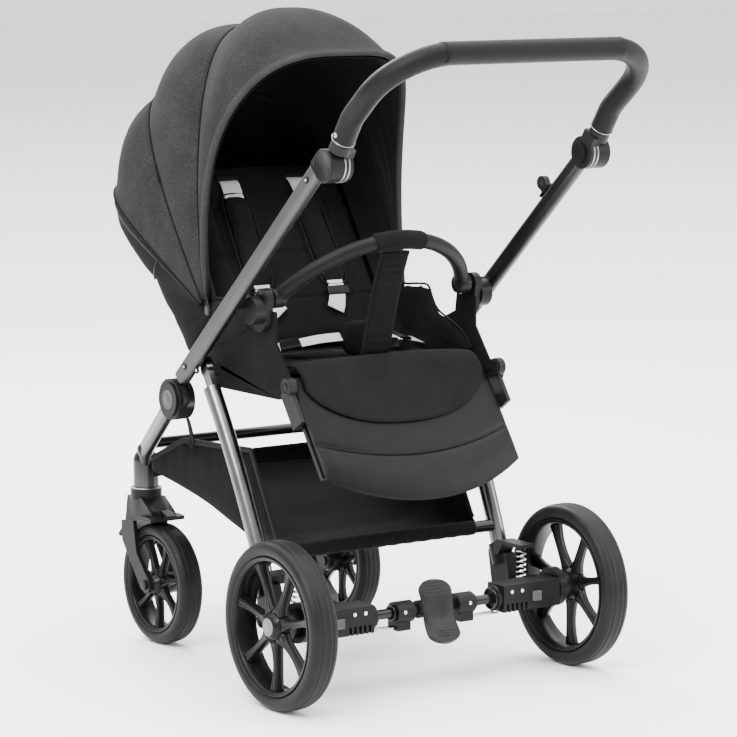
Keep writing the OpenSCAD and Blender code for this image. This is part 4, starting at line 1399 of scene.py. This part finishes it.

# %% [markdown]
# ## The basket's edges
# The open edges carry the load: a stiff panel at the front, a hem wrapped round the rear
# tube, a binding along each side, and a strap up to the frame. All but the hem get a mesh
# of their own.

# %% Front panel, hem, bindings and straps
front_panel = [[spot(x, 275.5 + 1.5 * math.sin(z * 0.2), z) for x in np.linspace(-186, 186, 33)]
               for z in np.linspace(277, 307, 7)]
panel = cloth_sheet("basket_front", front_panel, black_cloth, 0.0018,
                    "rear_chassis")
hem_rows = []
for x in np.linspace(-178, 178, 60):
    row = []
    for k in range(24):
        a = 2 * math.pi * k / 24
        r = 11.6 + 0.5 * math.sin(x * 0.22 + 2 * a) + (0.5 if abs(x) > 172 else 0)
        row.append(spot(x, -120 + r * math.cos(a), 212 + r * math.sin(a)))
    hem_rows.append(row)
add_piece("basket_hem", *skin(hem_rows, round_across=True, capped=True), black_cloth,
          "rear_chassis")
edges = []
for sign, label in SIDES:
    line = [spot(sign * 188, y, along_basket(y, BASKET_TOP) + 0.5)
            for y in np.linspace(-108, 272, 90)]
    edges.append(swept("basket_binding_" + label, line, lambda t: flat_section(0.0045, 0.009),
                       lining, "rear_chassis"))
    edges.append(swept("basket_strap_" + label,
                       smooth_path([spot(sign * 189, 150, 344), spot(sign * 192, 140, 360),
                                    spot(sign * 214, 116, 396),
                                    spot(sign * 232, 104, 414)], 24),
                       lambda t: flat_section(0.018, 0.0024), black_cloth, "rear_chassis",
                       up=(1, 0, 0)))
for piece in (basket, panel, *edges):
    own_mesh(piece)
print(len(edges), "bindings and straps")

# %% [markdown]
# ## Wheels
# A wheel is a moulded rim with seven tapered spokes, a foam tyre with rounded shoulders and
# shallow grooves, and a grey cap on the hub. The tyre is one section turned round the axle.
# The rim's barrel and hub are turned too, and each spoke is a small lofted beam, broad at the
# hub and at the rim, narrow between, with a raised rib along its outer edge.

# %% Tyre section and spoke
SPOKES = 7
SPOKE_SECTION = ((-1, -1), (0, -1.06), (1, -1), (1, -0.3), (0.82, 0.72), (0.55, 1.0), (0.25, 1.0),
                 (0.0, 0.84), (-0.25, 1.0), (-0.55, 1.0), (-0.82, 0.72), (-1, -0.3))


def tyre_section(outer, depth, half):
    """A tyre's closed section as (radius, along): rounded shoulders and three shallow grooves."""
    section = []
    for k in range(72):
        a = 2 * math.pi * k / 72
        c, s = math.cos(a), math.sin(a)
        r = outer - depth / 2 + depth / 2 * math.copysign(abs(c) ** 0.72, c)
        x = half * math.copysign(abs(s) ** 0.62, s)
        if c > 0:
            for groove in (-0.42, 0.0, 0.42):
                r -= 1.5 * math.exp(-((x - groove * half) / (half * 0.055)) ** 2)
            r -= 0.9 * (x / half) ** 4
        section.append((r, x))
    return section


def spoke(centre, sign, turn_, hub_r, rim_r, half):
    """Points and faces of one spoke: a beam whose section changes from hub to rim."""
    radial = Vector((0, math.cos(turn_), math.sin(turn_)))
    around = Vector((0, -math.sin(turn_), math.cos(turn_)))
    rows = []
    for i in range(15):
        t = i / 14
        reach = hub_r * 0.82 + (rim_r + 1.2 - hub_r * 0.82) * t
        wide = (6.0 + 4.6 * (2 * t - 1) ** 2 + 3.5 * max(0, 0.16 - t) / 0.16) * rim_r / 104
        thick = half * (0.50 + 0.10 * (2 * t - 1) ** 2)
        face = half * (0.42 - 0.30 * math.sin(math.pi * t) * 0.5)
        row = []
        for u, v in SPOKE_SECTION:
            x = sign * (face + thick * v * 0.62)
            row.append(centre + (radial * reach + around * (wide * u)) / 1000
                       + Vector((x / 1000, 0, 0)))
        rows.append(row)
    return skin(rows, round_across=True, capped=True)
print("a spoke has", len(SPOKE_SECTION), "points round its section")

# %% [markdown]
# ## Putting a wheel together
# The pieces of a wheel share one centre and one axis, so one function makes them all from a
# few sizes. The rear wheels are 260 mm across and the front ones 200 mm. Tyre and rim stand
# for the plain ones of the frame; spokes, hub and cap are added to them.

# %% Four wheels

def wheel(label, body, centre, sign, outer, tyre_half, depth, rim_half, hub_r, hub_half, nodes):
    """A whole wheel on a body: tyre, rim with its spokes, hub and hub cap, with sizes in mm."""
    tyre = lathe("tyre_" + label, centre, (1, 0, 0), tyre_section(outer, depth, tyre_half),
                 tyre_rubber, body,
                 segments=120, closed=True)
    rim_r = outer - depth
    barrel = [(rim_r - 0.2, -rim_half + 0.5), (rim_r + 0.9, -rim_half - 0.4),
              (rim_r + 2.2, -rim_half - 0.4),
              (rim_r + 2.4, -rim_half + 1), (rim_r - 0.2, -rim_half + 3),
              (rim_r - 0.2, rim_half - 3),
              (rim_r + 2.4, rim_half - 1), (rim_r + 2.2, rim_half + 0.4),
              (rim_r + 0.9, rim_half + 0.4),
              (rim_r - 2.6, rim_half - 0.6), (rim_r - 4.6, rim_half - 3), (rim_r - 5.4, 0),
              (rim_r - 4.6, -rim_half + 3), (rim_r - 2.6, -rim_half + 0.6)]
    rim = lathe("rim_" + label, centre, (1, 0, 0), barrel, rim_plastic, body, segments=96,
                closed=True)
    points, faces = [], []
    for k in range(SPOKES):
        more, shape = spoke(centre, sign, 2 * math.pi * (k + 0.25) / SPOKES, hub_r, rim_r - 4,
                            rim_half)
        faces += [tuple(len(points) + i for i in face) for face in shape]
        points += more
    add_piece("spokes_" + label, points, faces, rim_plastic, body)
    hub = [(6, -hub_half), (hub_r * 0.78, -hub_half), (hub_r * 0.86, -hub_half + 1),
           (hub_r * 0.9, -hub_half * 0.4),
           (hub_r, -hub_half * 0.1), (hub_r, hub_half * 0.35), (hub_r * 0.84, hub_half * 0.62),
           (hub_r * 0.62, hub_half - 1.2), (hub_r * 0.56, hub_half - 0.3), (6, hub_half - 0.3)]
    lathe("hub_" + label, centre, (sign, 0, 0), hub, rim_plastic, body)
    cap = [(0, hub_half - 0.6), (hub_r * 0.50, hub_half - 0.6), (hub_r * 0.50, hub_half + 0.3),
           (hub_r * 0.45, hub_half + 0.8), (hub_r * 0.42, hub_half + 0.4),
           (hub_r * 0.30, hub_half + 0.4),
           (hub_r * 0.27, hub_half + 0.9), (0, hub_half + 1.0)]
    lathe("hub_cap_" + label, centre, (sign, 0, 0), cap, cap_plastic, body)
    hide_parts(nodes[0])
    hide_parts(nodes[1])


for sign, label in SIDES:
    wheel("rear_" + label, "rear_wheel_" + label, spot(sign * 276, *REAR_AXLE), sign, 130, 23, 26,
          21, 27, 23.5,
          ("rear_tyre_" + label, "rear_rim_" + label))
    wheel("front_" + label, "front_wheel_" + label, spot(sign * 177.5, *FRONT_AXLE), sign, 100, 21,
          22, 19, 21, 24,
          ("front_tyre_" + label, "front_rim_" + label))
print("four wheels with", SPOKES, "spokes each")

# %% [markdown]
# ## The handle's grip
# The grip is a leather sleeve sewn round the tube, with a seam along the underside. It follows
# the handle's own line: up two arms, round two bends, round two corners and across the bar.

# %% Grip
ARM_ANGLE, BAR_ANGLE, BEND_AT, CORNER_R, BAR_FLAT, ARM_ACROSS = 124.2, 141.1, 87, 98, 53, 240


def handle_side():
    """Corners of the right arm's centre line in mm, from the joint to the middle of the bar."""
    a, b = math.radians(ARM_ANGLE), math.radians(BAR_ANGLE)
    line = []
    for s in np.linspace(44, BEND_AT - 4, 8):
        line.append((ARM_ACROSS, HANDLE_PIVOT[0] + s * math.cos(a),
                     HANDLE_PIVOT[1] + s * math.sin(a)))
    bend = (HANDLE_PIVOT[0] + BEND_AT * math.cos(a), HANDLE_PIVOT[1] + BEND_AT * math.sin(a))
    for s in np.linspace(8, BAR_FLAT, 6):
        line.append((ARM_ACROSS, bend[0] + s * math.cos(b), bend[1] + s * math.sin(b)))
    for t in np.linspace(8, 90, 14):
        w = math.radians(t)
        s = BAR_FLAT + CORNER_R * math.sin(w)
        line.append((ARM_ACROSS - CORNER_R * (1 - math.cos(w)), bend[0] + s * math.cos(b),
                     bend[1] + s * math.sin(b)))
    return line


right_half = handle_side()
grip_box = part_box("handle_grip")
grip_line = [spot(*p) for p in right_half] + [spot(-x, y, z) for x, y, z in reversed(right_half)]
grip_path = smooth_path(grip_line, 220)
grip = swept("handle_grip_leather", grip_path, lambda t: ring(0.0174, 32), grip_leather, "handle",
             up=(1, 0, 0))
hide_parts("handle_grip")
grip_frames = frames_along(grip_path, (1, 0, 0))
under = [p - Vector((0, 0, 1)).cross(f[0]).cross(f[0]).normalized() * -0.0173
         for p, f in zip(grip_path, grip_frames)]
stitches("handle_seam", under[8:-8], lambda t: Vector((0, 0, -1)), thread, "handle", every=0.0055)
print("grip from", [round(v, 3) for v in grip_box[0]], "to", [round(v, 3) for v in grip_box[1]],
      "and its path's top at", round(max(p.z for p in grip_path), 3))

# %% [markdown]
# ## Handle joints, rivets, screws and caps
# The small turned things tell that the stroller is real: the silver rings on the handle's
# joints, the rivets in the tubes, the screws in the axle housings, and the badges on the hubs.
# Each is a turned profile put on its axis, and each rides with the part it is fixed to.

# %% Small turned parts
arm_along = Vector((0, math.cos(math.radians(ARM_ANGLE)), math.sin(math.radians(ARM_ANGLE))))
for sign, label in SIDES:
    out = (sign, 0, 0)
    joint = spot(0, *HANDLE_PIVOT)
    lathe("joint_face_" + label, joint + Vector((sign * 0.258, 0, 0)), out,
          [(25.0, -1), (25.2, 0), (24.4, 1.4), (22.6, 1.9), (22.0, 1.2), (0, 1.2)], black_plastic,
          "upper_frame")
    for name, x, wide in (("outer", 233.2, 3.4), ("inner", 226.2, 3.4)):
        lathe("joint_ring_%s_%s" % (name, label), joint + Vector((sign * x / 1000, 0, 0)), out,
              [(23.6, 0), (25.7, 0.4), (26.1, wide / 2), (25.7, wide - 0.4), (23.6, wide)],
              bright_metal, "handle",
              segments=64, closed=True)
    sleeve_low = joint + Vector((sign * 0.240, 0, 0)) + arm_along * 0.046
    lathe("sleeve_ring_" + label, sleeve_low, arm_along,
          [(17.0, 0), (18.3, 0.3), (18.3, 1.6), (17.0, 1.9)], bright_metal, "handle", closed=True)
    lathe("sleeve_rivet_" + label, joint + Vector((sign * 0.2565, 0, 0)) + arm_along * 0.056, out,
          dome(3.6, 2.2),
          spring_wire, "handle")
    for name, along in (("top", 505), ("low", 32)):
        lathe("tube_rivet_%s_%s" % (name, label), on_tube(sign * 257.6, along, 0), out,
              dome(5.6, 2.0),
              black_plastic, "upper_frame")
        lathe("tube_rivet_pin_%s_%s" % (name, label), on_tube(sign * 259.4, along, 0), out,
              dome(2.1, 0.9, 0.5),
              spring_wire, "upper_frame")
    hub = spot(0, *HUB)
    lathe("hub_badge_" + label, hub + Vector((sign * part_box("hub_shells")[1][0], 0, 0)), out,
          [(0, -0.6), (15.5, -0.6), (15.5, 0.4), (14.6, 0.9), (14.0, 0.4), (9.4, 0.4), (8.8, 0.8),
           (0, 0.8)],
          grey_plastic, "upper_frame")
    for k, across in enumerate((140, 160)):
        lathe("housing_screw_%d_%s" % (k, label), spot(sign * across, -278.6, 137), (0, -1, 0),
              dome(3.3, 1.8),
              spring_wire, "rear_chassis")
    lathe("bracket_screw_" + label, spot(sign * 62, -273.6, 128), (0, -1, 0), dome(3.1, 1.6),
          spring_wire, "rear_chassis")
print("rings, rivets and screws are in")

# %% [markdown]
# ## The brake pedal
# The brake pedal is a rocker: an S of moulded plastic with round ends and a few ridges where
# the toe presses. It is lofted from oval sections along the S, so that its ends close in a
# curve, which is the only way here to get both the S and the ridges in one smooth surface.

# %% Pedal
PEDAL_LINE = ((-251.5, 165.5), (-260, 161), (-268, 147), (-272, 128), (-277, 110), (-287, 93),
              (-300, 77))
pedal_path = smooth_path([spot(0, y, z) for y, z in PEDAL_LINE], 150)


def pedal_section(t):
    """The pedal's oval section, narrowed to its round ends and ridged where the toe presses."""
    near = min(t, 1 - t)
    wide = 0.0305 * min(1.0,
                        math.sqrt(max(0.0, 1 - max(0.0, 1 - near / 0.17) ** 2)) * 0.995 + 0.005)
    wide *= 1 - 0.07 * math.exp(-((t - 0.5) / 0.2) ** 2)
    ridge = sum(0.0017 * math.exp(-((t - r) / 0.009) ** 2)
                for r in (0.11, 0.155, 0.20, 0.80, 0.845, 0.89))
    section = []
    for k in range(28):
        a = 2 * math.pi * k / 28
        c, s = math.cos(a), math.sin(a)
        u = wide * math.copysign(abs(c) ** 0.45, c)
        v = 0.0042 * math.copysign(abs(s) ** 0.6, s)
        middle = max(0.0, 1 - (abs(u) / 0.017) ** 4)
        lip = 0.0010 * math.exp(-((abs(u) - wide * 0.86) / 0.002) ** 2)
        section.append((u, v + (ridge * middle + lip) * (1 if s < 0 else 0) * -1))
    return section


pedal = swept("brake_pedal_rocker", pedal_path, pedal_section, pedal_plastic, "brake_pedal",
              up=(0, 1, 0.3))
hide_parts("brake_pedal")
print("pedal from", [round(v, 3) for v in pedal_path[0]], "to",
      [round(v, 3) for v in pedal_path[-1]])

# %% [markdown]
# ## Collars, rivets and rods
# The axle carries collars, the legs a rivet at their hinge, the castors a collar, an axle cap
# and a ridge on the fork. Two thin rods run to each brake, and the release buttons are ribbed
# for the thumb. All are turned or swept, on axes that come from the frame.

# %% Collars, rivets, rods and ribs
axle = spot(0, -257, 126)
barrel = lathe("brake_pedal_barrel", axle - Vector((0.030, 0, 0)), (1, 0, 0),
               [(9.2, 0), (13.4, 0), (14, 0.8), (14, 59.2), (13.4, 60), (9.2, 60)], black_plastic,
               "brake_pedal",
               closed=True)
for sign, label in SIDES:
    for name, at_ in (("outer", 116), ("inner", 76)):
        lathe("axle_collar_%s_%s" % (name, label), axle + Vector((sign * at_ / 1000, 0, 0)),
              (sign, 0, 0),
              [(9.2, 0), (12.4, 0), (13, 0.5), (13, 3.0), (12.4, 3.5), (9.2, 3.5)]
              if name == "inner" else
              [(15, -4), (17.2, -4), (18, -3.4), (18, -0.8), (17.2, -0.2), (15, -0.2)], axle_gloss,
              "rear_chassis",
              closed=True)
    lathe("leg_rivet_" + label, spot(sign * 249.5, *LEG_PIVOT), (sign, 0, 0), dome(6, 2.4),
          black_plastic, "rear_chassis")
    lathe("leg_rivet_pin_" + label, spot(sign * 251.6, *LEG_PIVOT), (sign, 0, 0),
          dome(2.4, 0.9, 0.5), spring_wire,
          "rear_chassis")
    collar_at = spot(sign * 177.5, 311, 253.6)
    lathe("castor_collar_" + label, collar_at, (0, 0, 1),
          [(12, -0.4), (25.2, -0.4), (26.2, 0.2), (26.2, 1.2),
                                                          (25.2, 1.8), (12, 1.8)], bright_metal,
          "caster_" + label, closed=True)
    lathe("castor_axle_cap_" + label, spot(sign * (177.5 + 35.8), *FRONT_AXLE), (sign, 0, 0),
          dome(7.4, 1.6), black_plastic,
          "caster_" + label)
    swept("castor_fork_ridge_" + label,
          smooth_path([spot(sign * 177.5, y, z)
                       for y, z in ((333.5, 239), (340, 222), (343.5, 204), (343, 191))], 16),
          lambda t: flat_section(0.018 - 0.006 * t, 0.0024), black_plastic, "caster_" + label,
          up=(0, 1, 0))
    for k, (y, z) in enumerate(((-262, 103), (-251, 103))):
        swept("brake_rod_%d_%s" % (k, label),
              [spot(sign * x, y, z) for x in np.linspace(72.4, 123.8, 8)],
              lambda t: ring(0.00175, 12), spring_wire, "rear_chassis")
    low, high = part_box("wheel_release_" + label)
    for k, x in enumerate(np.linspace(low[0] + 0.0022, high[0] - 0.0022, 5)):
        swept("release_rib_%d_%s" % (k, label),
              [Vector((x, low[1] - 0.0001, z))
               for z in np.linspace(low[2] + 0.002, high[2] - 0.002, 6)],
              lambda t: ring(0.0006, 8), grey_plastic, "wheel_release_" + label, up=(0, 1, 0))
print("the axle is at", [round(v, 3) for v in axle])

# %% [markdown]
# ## Bands on the tubes and stitching on the seat
# A bright line runs along each oval side tube, where the anodised face meets the edge. A row
# of stitches follows the top seam of each seat wing. They are small, but without them a seat
# reads as one block of foam.

# %% Tube lines and stitches
for sign, label in SIDES:
    edge_line = [on_tube(sign * 255.2, along, 8.4) for along in np.linspace(40, 486, 24)]
    swept("tube_edge_line_" + label, edge_line, lambda t: ring(0.0007, 6), bright_metal,
          "upper_frame", up=(1, 0, 0))
    wing_stitch = [p + Vector((sign * 0.1888, 0, -0.007)) for p in smooth_path(wing_edge[1:-1], 40)]
    stitches("seat_wing_stitching_" + label, wing_stitch, lambda t: Vector((1, 0, 0)), thread,
             "seat", every=0.006)
print("bands and stitches are on")
